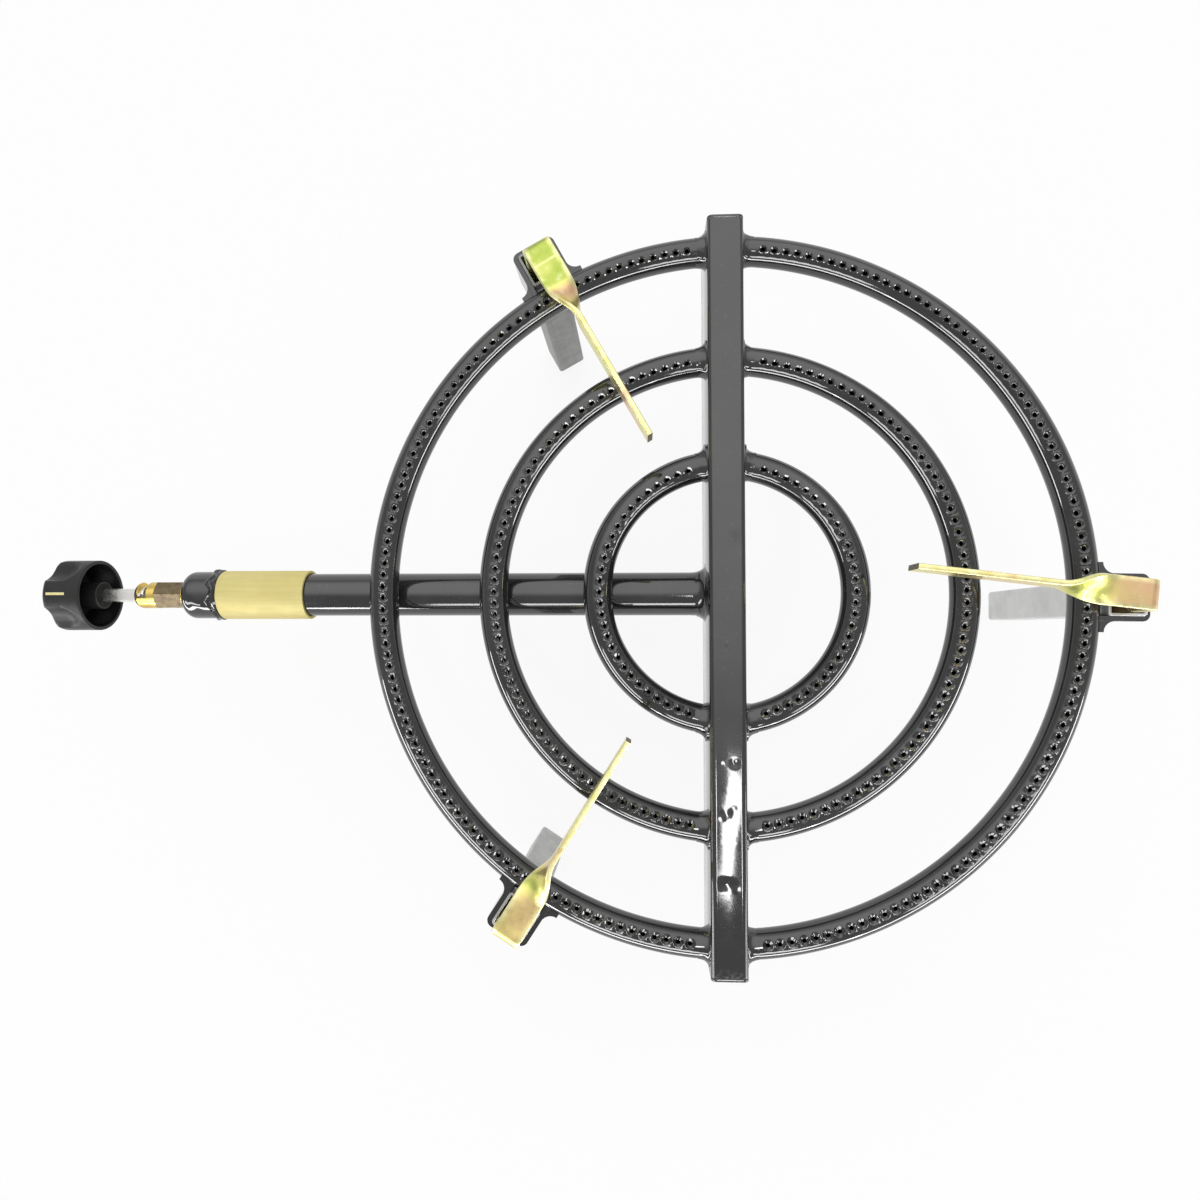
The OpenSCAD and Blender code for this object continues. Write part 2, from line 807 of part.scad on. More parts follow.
// Welds with a hollow face between the straps and the outer ring
module bracket_welds() {
    weld_out = strap_weld_reach - leg_w / 2 - leg_gap;
    color(enamel) at_rings() difference() {
        for (place = [0:len(leg_bearings) - 1], side = [0, 1]) {
            at_leg(place) mirror([0, side, 0]) translate([0, strap_half, -strap_weld_h / 2]) {
                linear_extrude(strap_weld_h) difference() {
                    translate([strap_in, 0]) square([weld_out - strap_in, strap_weld_reach]);
                    translate([weld_out, strap_weld_reach]) circle(r = strap_weld_reach);
                }
            }
        }
        ring_solid(outer_r, ring_tube_r);
    }
}

module leg(place) {
    inside_r = max(leg_corner_r - leg_wall, least_corner_r);
    color(zinc) at_rings() at_leg(place) translate([0, 0, -ring_plane_h]) {
        linear_extrude(ring_plane_h + leg_rise) difference() {
            rounded_rect(leg_w, leg_w, leg_corner_r);
            rounded_rect(leg_bore, leg_bore, inside_r);
        }
    }
}

module leg_right() {
    leg(0);
}

module leg_rear() {
    leg(1);
}

module leg_front() {
    leg(2);
}

// Plates across the inside of the legs, which carry the supports
module leg_stops() {
    inside_r = max(leg_corner_r - leg_wall, least_corner_r);
    color(zinc) at_rings() for (place = [0:len(leg_bearings) - 1]) {
        at_leg(place) translate([0, 0, stop_top - stop_t]) linear_extrude(stop_t) {
            rounded_rect(leg_bore, leg_bore, inside_r);
        }
    }
}

// Flat bar that stands in a leg, bends inwards and twists on edge under the pan
module support(place) {
    color(chromate) at_rings() at_leg(place) translate([support_shifts[place], 0, 0]) rotate(support_skews[place]) {
        translate([0, 0, paddle_rise - bend_r]) mirror([0, 0, 1]) {
            linear_extrude(paddle_rise - bend_r - stop_top) square([flat_t, flat_w], center = true);
        }
        translate([-bend_r, 0, paddle_rise - bend_r]) rotate([90, 0, 0]) rotate_extrude(angle = 90) {
            translate([bend_r, 0]) square([flat_t, flat_w], center = true);
        }
        translate([-bend_r, 0, paddle_rise]) rotate([0, -90, 0]) {
            linear_extrude(paddle_len) square([flat_t, flat_w], center = true);
        }
        translate([-bend_r - paddle_len, 0, paddle_rise]) rotate([0, -90, 0]) {
            linear_extrude(twist_len, twist = 90, slices = twist_slices, segments = twist_segments) {
                square([flat_t, flat_w], center = true);
            }
        }
        translate([-bend_r - paddle_len - twist_len, 0, paddle_rise]) rotate([0, -90, 0]) {
            linear_extrude(arm_len) square([flat_w, flat_t], center = true);
        }
    }
}

module support_right() {
    support(0);
}

module support_rear() {
    support(1);
}

module support_front() {
    support(2);
}

crossbar();
crossbar_end_plates();
outer_ring_left();
outer_ring_right();
middle_ring_left();
middle_ring_right();
inner_ring_left();
inner_ring_right();
ring_welds();
feed_tube();
feed_weld();
tube_end_cap();
cap_weld();
air_sleeve();
injector();
tap_body();
tap_bonnet();
tap_plug();
plug_spring();
inlet_washer();
hose_nozzle();
spindle();
spindle_pin();
knob();
knob_pointer();
bracket_right();
bracket_rear();
bracket_front();
bracket_welds();
leg_right();
leg_rear();
leg_front();
leg_stops();
support_right();
support_rear();
support_front();
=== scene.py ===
"""Looks of a three-ring paella burner, laid over its construction frame.

Enamelled half rings with drilled flame ports, a dented crossbar, weld beads, a brass tap and air sleeve, a
moulded knob, zinc legs and yellow-passivated pan supports. Lengths are in metres, and each piece takes its
place from the frame's nodes.
"""
import math
import random

import bmesh
import bpy
from bmesh.types import BMEdge, BMFace, BMVert
from bpy.props import FloatProperty, FloatVectorProperty, PointerProperty
from mathutils import Matrix, Vector, noise


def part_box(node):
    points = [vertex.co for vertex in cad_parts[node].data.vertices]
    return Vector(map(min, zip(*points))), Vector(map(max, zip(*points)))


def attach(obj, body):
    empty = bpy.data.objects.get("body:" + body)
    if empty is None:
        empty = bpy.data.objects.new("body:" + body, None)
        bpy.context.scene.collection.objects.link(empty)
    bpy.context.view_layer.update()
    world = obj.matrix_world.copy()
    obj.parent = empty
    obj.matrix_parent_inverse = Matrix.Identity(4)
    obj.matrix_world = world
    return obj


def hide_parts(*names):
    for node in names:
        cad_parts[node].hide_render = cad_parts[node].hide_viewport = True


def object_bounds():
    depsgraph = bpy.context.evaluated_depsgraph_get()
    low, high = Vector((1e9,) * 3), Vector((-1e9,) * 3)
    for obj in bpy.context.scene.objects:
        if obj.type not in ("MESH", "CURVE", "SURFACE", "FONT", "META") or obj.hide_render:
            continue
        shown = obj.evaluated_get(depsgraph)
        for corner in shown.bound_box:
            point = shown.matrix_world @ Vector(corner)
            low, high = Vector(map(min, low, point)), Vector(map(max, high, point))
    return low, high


bl_info = {
    "name": "Paella burner looks",
    "version": (1, 0, 0),
    "blender": (4, 5, 0),
    "location": "3D View > Sidebar > Burner",
    "description": "Dresses the frame of a paella burner in enamel, brass, zinc and plastic",
    "category": "Object",
}

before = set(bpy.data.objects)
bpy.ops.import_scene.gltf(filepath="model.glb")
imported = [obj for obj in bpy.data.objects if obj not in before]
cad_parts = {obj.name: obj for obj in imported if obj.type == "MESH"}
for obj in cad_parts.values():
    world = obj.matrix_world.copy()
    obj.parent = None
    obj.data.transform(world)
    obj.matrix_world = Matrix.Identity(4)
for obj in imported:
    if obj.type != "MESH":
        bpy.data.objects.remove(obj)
cad_low, cad_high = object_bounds()

MM = 0.001
MERGE = 0.002 * MM
SMOOTH_ANGLE = math.radians(38)
SHARP_ANGLE = math.radians(32)
FLAT_ANGLE = math.radians(0.6)

# Places read from the frame
bar_low, bar_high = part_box("crossbar")
ring_low, ring_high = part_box("outer_ring_right")
feed_low, feed_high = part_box("feed_tube")
cap_low, cap_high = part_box("tube_end_cap")
sleeve_low, sleeve_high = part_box("air_sleeve")
knob_low, knob_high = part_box("knob")
RING_CENTRE = (bar_low + bar_high) / 2
RING_CENTRE.z = (ring_low.z + ring_high.z) / 2
RING_TUBE_R = (ring_high.z - ring_low.z) / 2
BAR_HALF = (bar_high.x - bar_low.x) / 2
FEED_R = (feed_high.z - feed_low.z) / 2
CAP_R = (cap_high.z - cap_low.z) / 2
FEED_AXIS = Vector((feed_low.x, RING_CENTRE.y, (feed_low.z + feed_high.z) / 2))

# Frame along the feed tube, from its open end to the crossbar, with the local X axis pointing down
FEED_FRAME = Matrix.Translation(FEED_AXIS) @ Matrix.Rotation(math.pi / 2, 4, "Y")
CAP_FRAME = Matrix.Translation((cap_low.x - feed_low.x, 0, 0)) @ FEED_FRAME
# Frame along the tap, outwards from the cap's face, with the local X axis pointing up
TAP_FRAME = Matrix.Translation((cap_low.x, FEED_AXIS.y, FEED_AXIS.z)) @ Matrix.Rotation(-math.pi / 2, 4, "Y")

RING_NAMES = ("outer", "middle", "inner")
LEG_NAMES = ("right", "rear", "front")
ROOT = "burner_frame"


def length(name, description, millimetres):
    """A length for the sidebar, given here in millimetres."""
    return FloatProperty(
        name=name, description=description, default=millimetres * MM, min=0, unit="LENGTH", precision=5
    )


def share(name, description, value):
    """A share between nought and one for the sidebar."""
    return FloatProperty(name=name, description=description, default=value, min=0, max=1, subtype="FACTOR")


def tint(name, description, red, green, blue):
    """A colour for the sidebar, in linear values."""
    return FloatVectorProperty(
        name=name, description=description, default=(red, green, blue), size=3, min=0, max=1, subtype="COLOR"
    )


class BurnerRings(bpy.types.PropertyGroup):
    """Sizes of the half rings and their flame ports"""

    port_d: length("Port", "Diameter of a flame port", 2.5)
    port_pitch: length("Pitch", "Spacing of the ports along a ring", 6.4)
    port_margin: length("Margin", "Plain ring between the crossbar and the first port", 11)
    wall: length("Wall", "Wall of the ring tube", 1.5)
    lip_r: length("Lip radius", "Radius of the enamel lip round a port", 2.6)
    lip_h: length("Lip height", "Height of the enamel lip over the tube", 0.5)
    foot_r: length("Foot radius", "Radius at which the lip meets the tube", 3.08)
    cone_r: length("Cone radius", "Radius of the coned edge of the hole", 2.1)
    cone_drop: length("Cone depth", "Depth of the coned edge at the rear", 0.9)
    edge_drop: length("Edge depth", "Depth of the hole's wall at the rear", 1.25)
    front_cone: share("Front cones", "Share of the cone depth at the front, where the enamel filled it", 0.75)
    rear_lip: share("Rear lips", "Share of the lip height at the rear, where the enamel ran thin", 0.05)
    lip_jitter: share("Lip unevenness", "Unevenness of the lips", 0.45)
    port_slop: length("Port slop", "How far a port strays from its place", 0.36)
    port_lean: FloatProperty(
        name="Port lean", description="Lean of the row of ports towards the middle of the ring",
        default=math.radians(12), subtype="ANGLE",
    )


class BurnerBar(bpy.types.PropertyGroup):
    """Sizes of the crossbar's enamelled skin"""

    corner_r: length("Corner", "Outside corner radius of the crossbar", 3)
    sink: length("Sink", "How far the top sinks along its middle", 0.3)
    wave: length("Waves", "Height of the waves in the enamel", 0.05)
    wave_len: length("Wave length", "Length of the waves in the enamel", 26)


class BurnerWelds(bpy.types.PropertyGroup):
    """Sizes of the weld beads"""

    ring_flare: length("Ring flare", "Reach of a ring weld along the crossbar", 4)
    feed_flare: length("Feed flare", "Reach of the feed tube's weld on the crossbar", 5)
    lump_h: length("Lumps", "Height of the lumps on a bead", 0.5)
    lump_len: length("Lump length", "Length of the lumps on a bead", 3.5)
    cap_lip: length("Cap lip", "Height of the bead at the cap's rim over the cap", 1.0)
    cap_run: length("Cap run", "How far the bead at the cap's rim wanders over the cap", 3.4)
    cap_bump: length("Cap bump", "Height of the enamel run on the cap", 0.9)


class BurnerSupports(bpy.types.PropertyGroup):
    """Sizes of the pan supports"""

    edge_r: length("Edge", "Edge radius of the flat bar", 0.7)
    bend_r: length("Bend", "Radius of the bend at the middle of the bar", 4)
    flat_w: length("Width", "Width of the flat bar", 16)
    flat_t: length("Thickness", "Thickness of the flat bar", 3)
    paddle: length("Paddle", "Length of the flat paddle after the bend", 16)
    twist: length("Twist", "Length of the quarter twist", 30)
    arm: length("Arm", "Length of the straight arm", 72)


class BurnerKnob(bpy.types.PropertyGroup):
    """Sizes of the knob"""

    wall: length("Wall", "Wall of the knob", 2)
    hollow: length("Hollow", "Depth of the hollow in the back of the knob", 15)
    hub_d: length("Hub", "Diameter of the hub", 16)
    hub_proud: length("Hub height", "Height of the hub past the rim", 2)
    front_r: length("Front edge", "Radius of the front edge", 4)
    edge_r: length("Edge", "Radius of the small edges", 0.5)
    flute_r: length("Flute", "Radius of a finger flute", 12)
    flute_depth: length("Flute depth", "Depth of a finger flute", 5)
    flute_start: length("Flute start", "Distance from the rim to the round end of a flute", 14)
    bore_d: length("Bore", "Diameter of the spindle's bore", 8.1)
    bore_flat: length("Flat", "Depth of the flat in the bore", 1.6)
    bore_depth: length("Bore depth", "Depth of the bore", 12.05)
    blend: length("Flute edge", "Rounding of the edges between the flutes", 1.1)


class BurnerEdges(bpy.types.PropertyGroup):
    """Edge roundings of the pieces that keep the frame's own shape"""

    strap: length("Straps", "Edge radius of the enamelled straps", 0.7)
    weld: length("Strap welds", "Edge radius of the welds beside the straps", 1.2)
    leg: length("Legs", "Edge radius of the sawn leg ends", 0.3)
    tap: length("Tap", "Edge radius of the turned brass pieces", 0.25)
    plate: length("Plates", "Edge radius of the crossbar's end plates", 0.6)
    sleeve: length("Sleeve", "Edge radius of the air sleeve", 0.35)
    sleeve_split: length("Split", "Width of the split along the air sleeve", 2)


class BurnerColours(bpy.types.PropertyGroup):
    """Colours of the finishes"""

    enamel: tint("Enamel", "Black stove enamel", 0.012, 0.012, 0.0125)
    enamel_thin: tint("Thin enamel", "Enamel where it runs thin or greys", 0.026, 0.026, 0.0265)
    enamel_worn: tint("Worn enamel", "Grey of worn enamel edges", 0.11, 0.108, 0.105)
    enamel_dust: tint("Enamel dust", "Dust on the enamel", 0.1, 0.1, 0.097)
    sleeve: tint("Sleeve", "Satin brass of the air sleeve", 0.66, 0.57, 0.22)
    sleeve_rubbed: tint("Rubbed sleeve", "Lines rubbed along the air sleeve", 0.74, 0.66, 0.32)
    sleeve_dull: tint("Dull sleeve", "Dull clouds on the air sleeve", 0.56, 0.48, 0.18)
    tap: tint("Tap", "Polished brass of the tap", 0.62, 0.44, 0.1)
    tap_edge: tint("Tap edges", "Bright edges of the tap's brass", 0.86, 0.66, 0.22)
    # Painted reflection and shade: dark brown for the hex flats' dark reflections and for the shade inside
    # the bonnet's window
    brass_shade: tint("Forged brass", "Dull brown brass of the forged flats", 0.1, 0.075, 0.045)
    brass_shade_pale: tint("Light forged brass", "Paler patches of the forged flats", 0.2, 0.15, 0.08)
    tarnish: tint("Tarnish", "Dull brown on old brass", 0.2, 0.12, 0.04)
    steel: tint("Steel", "Bright steel of the spindle", 0.82, 0.81, 0.78)
    steel_line: tint("Steel lines", "Darker lines along the spindle", 0.72, 0.71, 0.68)
    cut: tint("Cut steel", "Bare steel at the cut ends", 0.1, 0.08, 0.055)
    cut_light: tint("Light cut steel", "Paler grain at the cut ends", 0.23, 0.19, 0.13)
    lime: tint("Lime", "Green tint of the passivated zinc", 0.29, 0.4, 0.055)
    # Partly painted highlight: this bright greenish yellow also stands in for a lamp's highlight on the right
    # support's twist
    lemon_and_highlight: tint("Lemon", "Greenish yellow tint of the passivated zinc", 0.66, 0.65, 0.19)
    straw: tint("Straw", "Yellow tint of the passivated zinc", 0.7, 0.58, 0.22)
    rose: tint("Rose", "Pink tint of the passivated zinc", 0.72, 0.46, 0.27)
    film_scored: tint("Scored film", "Lines scored in the passivated zinc", 0.85, 0.82, 0.6)
    film_edge: tint("Film edges", "Rubbed edges of the passivated zinc", 0.84, 0.8, 0.42)
    zinc: tint("Zinc", "Grey zinc of the legs", 0.2, 0.2, 0.195)
    zinc_light: tint("Light zinc", "Paler patches of the legs' zinc", 0.27, 0.27, 0.265)
    zinc_streak: tint("Zinc streaks", "Dark streaks down the legs", 0.14, 0.14, 0.137)
    # Pale tone laid over the zinc, more on some legs than on others
    whitening: tint("Bloom", "Pale bloom on the zinc of the legs", 0.7, 0.7, 0.69)
    knob: tint("Knob", "Black moulded plastic", 0.013, 0.013, 0.0135)
    knob_grey: tint("Knob grey", "Paler patches of the plastic", 0.02, 0.02, 0.0205)
    knob_rubbed: tint("Rubbed knob", "Rubbed edges of the plastic", 0.05, 0.05, 0.05)
    knob_dust: tint("Knob dust", "Dust on the plastic", 0.07, 0.07, 0.07)
    # Painted shade: the near-black inside of the knob's hollow stands in for the shade that falls there,
    # though the plastic is the same
    knob_inside: tint("Knob inside", "Dull inside of the knob", 0.003, 0.003, 0.003)
    knob_hollow_shade_pale: tint("Light knob inside", "Paler patches inside the knob", 0.007, 0.007, 0.007)
    pointer: tint("Pointer", "Pale yellow paint of the pointer", 0.86, 0.77, 0.36)
    pointer_worn: tint("Worn pointer", "Worn paint of the pointer", 0.6, 0.5, 0.22)
    fibre: tint("Fibre", "Red-brown fibre of the washer", 0.19, 0.07, 0.04)
    fibre_light: tint("Light fibre", "Paler grain of the washer", 0.3, 0.13, 0.08)
    floor: tint("Floor", "Pale floor", 0.93, 0.93, 0.93)


class BurnerStage(bpy.types.PropertyGroup):
    """Camera, light and floor"""

    eye: FloatVectorProperty(
        name="Eye", description="Place of the camera from the ring centre", size=3, unit="LENGTH",
        default=(-45.8 * MM, -22.3 * MM, 445.6 * MM),
    )
    tilt: FloatVectorProperty(
        name="Tilt", description="Turn of the camera from looking straight down", size=3, subtype="EULER",
        default=(math.radians(2.31), math.radians(3.06), math.radians(0)),
    )
    lens: FloatProperty(name="Lens", description="Focal length in millimetres", default=24, min=1)
    sensor: FloatProperty(name="Sensor", description="Sensor width in millimetres", default=36, min=1)
    floor_w: length("Floor", "Width of the floor", 12000)
    sky: FloatProperty(name="Sky", description="Strength of the even light", default=0.52, min=0)
    ceiling: FloatProperty(
        name="Ceiling", description="Strength of the soft light above the rear", default=1.28, min=0
    )
    ceiling_tilt: FloatProperty(
        name="Ceiling tilt", description="Lean of the soft light towards the rear", default=math.radians(34),
        subtype="ANGLE",
    )
    glow: share("Glow", "How much of the floor's white doesn't depend on the lamps", 0.86)


class Shader:
    """Places nodes in a shader tree and joins them."""

    def __init__(self, tree, colours=None):
        self.tree = tree
        self.colours = colours

    def find(self, kind):
        """The first node of a kind."""
        return next(node for node in self.tree.nodes if node.type == kind)

    def node(self, kind, feeds=None, **settings):
        """Adds a node, sets its options and feeds its inputs with sockets or plain values."""
        made = self.tree.nodes.new(kind)
        for key, value in settings.items():
            setattr(made, key, value)
        for key, value in (feeds or {}).items():
            self.feed(made.inputs[key], value)
        return made

    def feed(self, socket, value):
        """Joins a socket to an input, or sets its value, or its colour by the colour's name."""
        if isinstance(value, bpy.types.NodeSocket):
            self.tree.links.new(value, socket)
        else:
            socket.default_value = self.rgba(value) if isinstance(value, str) else value

    def rgba(self, name):
        """A colour of the settings with full cover."""
        return (*getattr(self.colours, name), 1.0)

    def group(self, name, **values):
        """Places a shared group with its own values."""
        made = self.node("ShaderNodeGroup", node_tree=bpy.data.node_groups[name])
        for key, value in values.items():
            self.feed(made.inputs[key.capitalize()], value)
        return made.outputs[0]

    def mix(self, factor, low, high):
        """Mixes two colours, by the sockets that the mix node keeps for colours."""
        feeds = {0: factor, 6: low, 7: high}
        return self.node("ShaderNodeMix", feeds, data_type="RGBA").outputs[2]

    def math(self, operation, first, second=0.0, third=0.0):
        """Works out one value from up to three."""
        return self.node("ShaderNodeMath", {0: first, 1: second, 2: third}, operation=operation).outputs[0]

    def spread(self, value, low, high):
        """Stretches a stretch of values to run from nought to one."""
        feeds = {"Value": value, "From Min": low, "From Max": high}
        return self.node("ShaderNodeMapRange", feeds).outputs[0]

    def attribute(self, name):
        """Reads a value that the mesh carries on its vertices."""
        return self.node("ShaderNodeAttribute", attribute_name=name).outputs["Fac"]

    def spot(self):
        """Place on the object."""
        return self.node("ShaderNodeTexCoord").outputs["Object"]

    def cloud(self, spot, scale, detail, roughness=0.5):
        """Noise at a place."""
        feeds = {"Vector": spot, "Scale": scale, "Detail": detail, "Roughness": roughness}
        return self.node("ShaderNodeTexNoise", feeds).outputs[0]


def shader_group(name, inputs):
    """Starts a shared group, and returns its helper, its inputs and a function that gives its output."""
    tree = bpy.data.node_groups.new(name, "ShaderNodeTree")
    for label, default in inputs.items():
        kind = "NodeSocketVector" if isinstance(default, tuple) else "NodeSocketFloat"
        socket = tree.interface.new_socket(label, in_out="INPUT", socket_type=kind)
        socket.default_value = default
    tree.interface.new_socket("Value", in_out="OUTPUT", socket_type="NodeSocketFloat")
    shader = Shader(tree)
    given = shader.node("NodeGroupInput").outputs

    def end(value):
        shader.node("NodeGroupOutput", {0: value})

    return shader, given, end


def make_groups():
    """Builds the effects that several finishes share."""
    # Slow change over the surface between two values
    shader, given, end = shader_group("Uneven", {"Scale": 50.0, "Low": 0.0, "High": 1.0})
    cloud = shader.spread(shader.cloud(shader.spot(), given["Scale"], 4.0, 0.6), 0.3, 0.7)
    gap = shader.math("SUBTRACT", given["High"], given["Low"])
    end(shader.math("MULTIPLY_ADD", cloud, gap, given["Low"]))

    # Skin of a sprayed or fired coat, with fine peel on slow waves
    shader, given, end = shader_group("Peel", {"Fine": 700.0, "Slow": 120.0, "Wave": 1.0})
    fine = shader.cloud(shader.spot(), given["Fine"], 1.0)
    slow = shader.cloud(shader.spot(), given["Slow"], 2.0)
    end(shader.math("MULTIPLY_ADD", slow, given["Wave"], fine))

    # Fine lines drawn along one direction
    inputs = {"Stretch": (40.0, 900.0, 900.0), "Least": 0.6, "Most": 0.75}
    shader, given, end = shader_group("Scratch", inputs)
    feeds = {0: shader.spot(), 1: given["Stretch"]}
    drawn = shader.node("ShaderNodeVectorMath", feeds, operation="MULTIPLY").outputs[0]
    end(shader.spread(shader.cloud(drawn, 1.0, 3.0), given["Least"], given["Most"]))

    # Rubbed edges, where the mesh marks them
    shader, given, end = shader_group("Edge", {"Scale": 300.0, "Least": 0.4, "Most": 0.6})
    patch = shader.spread(shader.cloud(shader.spot(), given["Scale"], 3.0), given["Least"], given["Most"])
    end(shader.math("MULTIPLY", patch, shader.attribute("wear")))

    # Small round specks, on a share of the places
    shader, given, end = shader_group("Speck", {"Scale": 600.0, "Size": 0.2, "Few": 0.7})
    dots = shader.node("ShaderNodeTexVoronoi", {"Vector": shader.spot(), "Scale": given["Scale"]})
    inside = shader.math("LESS_THAN", dots.outputs["Distance"], given["Size"])
    pick = shader.node("ShaderNodeSeparateColor", {0: dots.outputs["Color"]}).outputs[0]
    end(shader.math("MULTIPLY", inside, shader.math("GREATER_THAN", pick, given["Few"])))


def finish(colours, name, colour, rough, relief=None, marks=None, strength=0.0, depth=0.0, plain=None):
    """A material from a colour function, an uneven roughness, a group for its relief and plain values."""
    material = bpy.data.materials.new(name)
    material.use_nodes = True
    shader = Shader(material.node_tree, colours)
    inputs = shader.find("BSDF_PRINCIPLED").inputs
    shader.feed(inputs["Base Color"], colour(shader))
    shader.feed(inputs["Roughness"], shader.group("Uneven", **rough))
    if relief:
        feeds = {"Height": shader.group(relief, **marks), "Strength": strength, "Distance": depth * MM}
        shader.feed(inputs["Normal"], shader.node("ShaderNodeBump", feeds).outputs[0])
    for key, value in (plain or {}).items():
        inputs[key].default_value = value
    return material


def two_tone(first, second, group="Uneven", **marks):
    """Colour function that mixes two colours of the settings by a shared group."""

    def colour(shader):
        return shader.mix(shader.group(group, **marks), first, second)

    return colour


def enamel_colour(shader):
    """Black stove enamel with grey thin spots, worn edges and specks of dust."""
    base = shader.mix(shader.group("Uneven", scale=28.0), "enamel", "enamel_thin")
    edge = shader.group("Edge", scale=500.0, least=0.42, most=0.62)
    worn = shader.mix(edge, base, "enamel_worn")
    dust = shader.group("Speck", scale=420.0, size=0.16, few=0.8)
    return shader.mix(shader.math("MULTIPLY", dust, 0.5), worn, "enamel_dust")


def sleeve_colour(shader):
    """Satin brass sheet, drawn and rubbed lengthwise."""
    lines = shader.group("Scratch", stretch=(26.0, 520.0, 520.0), least=0.45, most=0.7)
    bright = shader.mix(shader.math("MULTIPLY", lines, 0.6), "sleeve", "sleeve_rubbed")
    cloud = shader.group("Uneven", scale=45.0, low=0.0, high=0.4)
    return shader.mix(cloud, bright, "sleeve_dull")


def tap_colour(shader):
    """Polished brass with brown tarnish and bright edges."""
    stain = shader.group("Uneven", scale=110.0, low=0.0, high=0.3)
    dull = shader.mix(stain, "tap", "tarnish")
    edge = shader.group("Edge", scale=250.0, least=0.2, most=0.4)
    return shader.mix(edge, dull, "tap_edge")


# Place of each tint on the ramp from lime to rose
# The lemon step is partly a painted highlight
FILM_RAMP = {"lime": 0.15, "lemon_and_highlight": 0.44, "straw": 0.7, "rose": 0.98}


def support_colour(shader):
    """Yellow-passivated zinc with rubbed edges, whose film turns from lime to rose along the bar."""
    drift = shader.math("MULTIPLY_ADD", shader.group("Uneven", scale=45.0), 0.3, shader.attribute("film"))
    film = shader.node("ShaderNodeValToRGB", {0: drift})
    steps = film.color_ramp.elements
    steps.remove(steps[0])
    for index, (name, place) in enumerate(FILM_RAMP.items()):
        step = steps.new(place) if index else steps[0]
        step.position = place
        step.color = shader.rgba(name)
    lines = shader.group("Scratch", stretch=(160.0, 160.0, 900.0), least=0.6, most=0.72)
    scored = shader.mix(shader.math("MULTIPLY", lines, 0.35), film.outputs[0], "film_scored")
    edge = shader.group("Edge", scale=180.0, least=0.3, most=0.6)
    return shader.mix(edge, scored, "film_edge")


def leg_colour(shader):
    """Grey zinc with upright streaks, made paler on some legs than on others."""
    streaks = shader.group("Scratch", stretch=(300.0, 300.0, 14.0), least=0.35, most=0.7)
    dull = shader.mix(shader.group("Uneven", scale=60.0), "zinc", "zinc_light")
    streaked = shader.mix(shader.math("MULTIPLY", streaks, 0.4), dull, "zinc_streak")
    patches = shader.group("Uneven", scale=60.0, low=0.75, high=1.0)
    cover = shader.math("MULTIPLY", patches, shader.attribute("whitening"))
    return shader.mix(cover, streaked, "whitening")


def knob_colour(shader):
    """Black moulded plastic with rubbed edges and specks of dust."""
    base = shader.mix(shader.group("Uneven", scale=90.0), "knob", "knob_grey")
    edge = shader.group("Edge", scale=220.0, least=0.3, most=0.7)
    rubbed = shader.mix(edge, base, "knob_rubbed")
    dust = shader.group("Speck", scale=500.0, size=0.12, few=0.9)
    return shader.mix(dust, rubbed, "knob_dust")


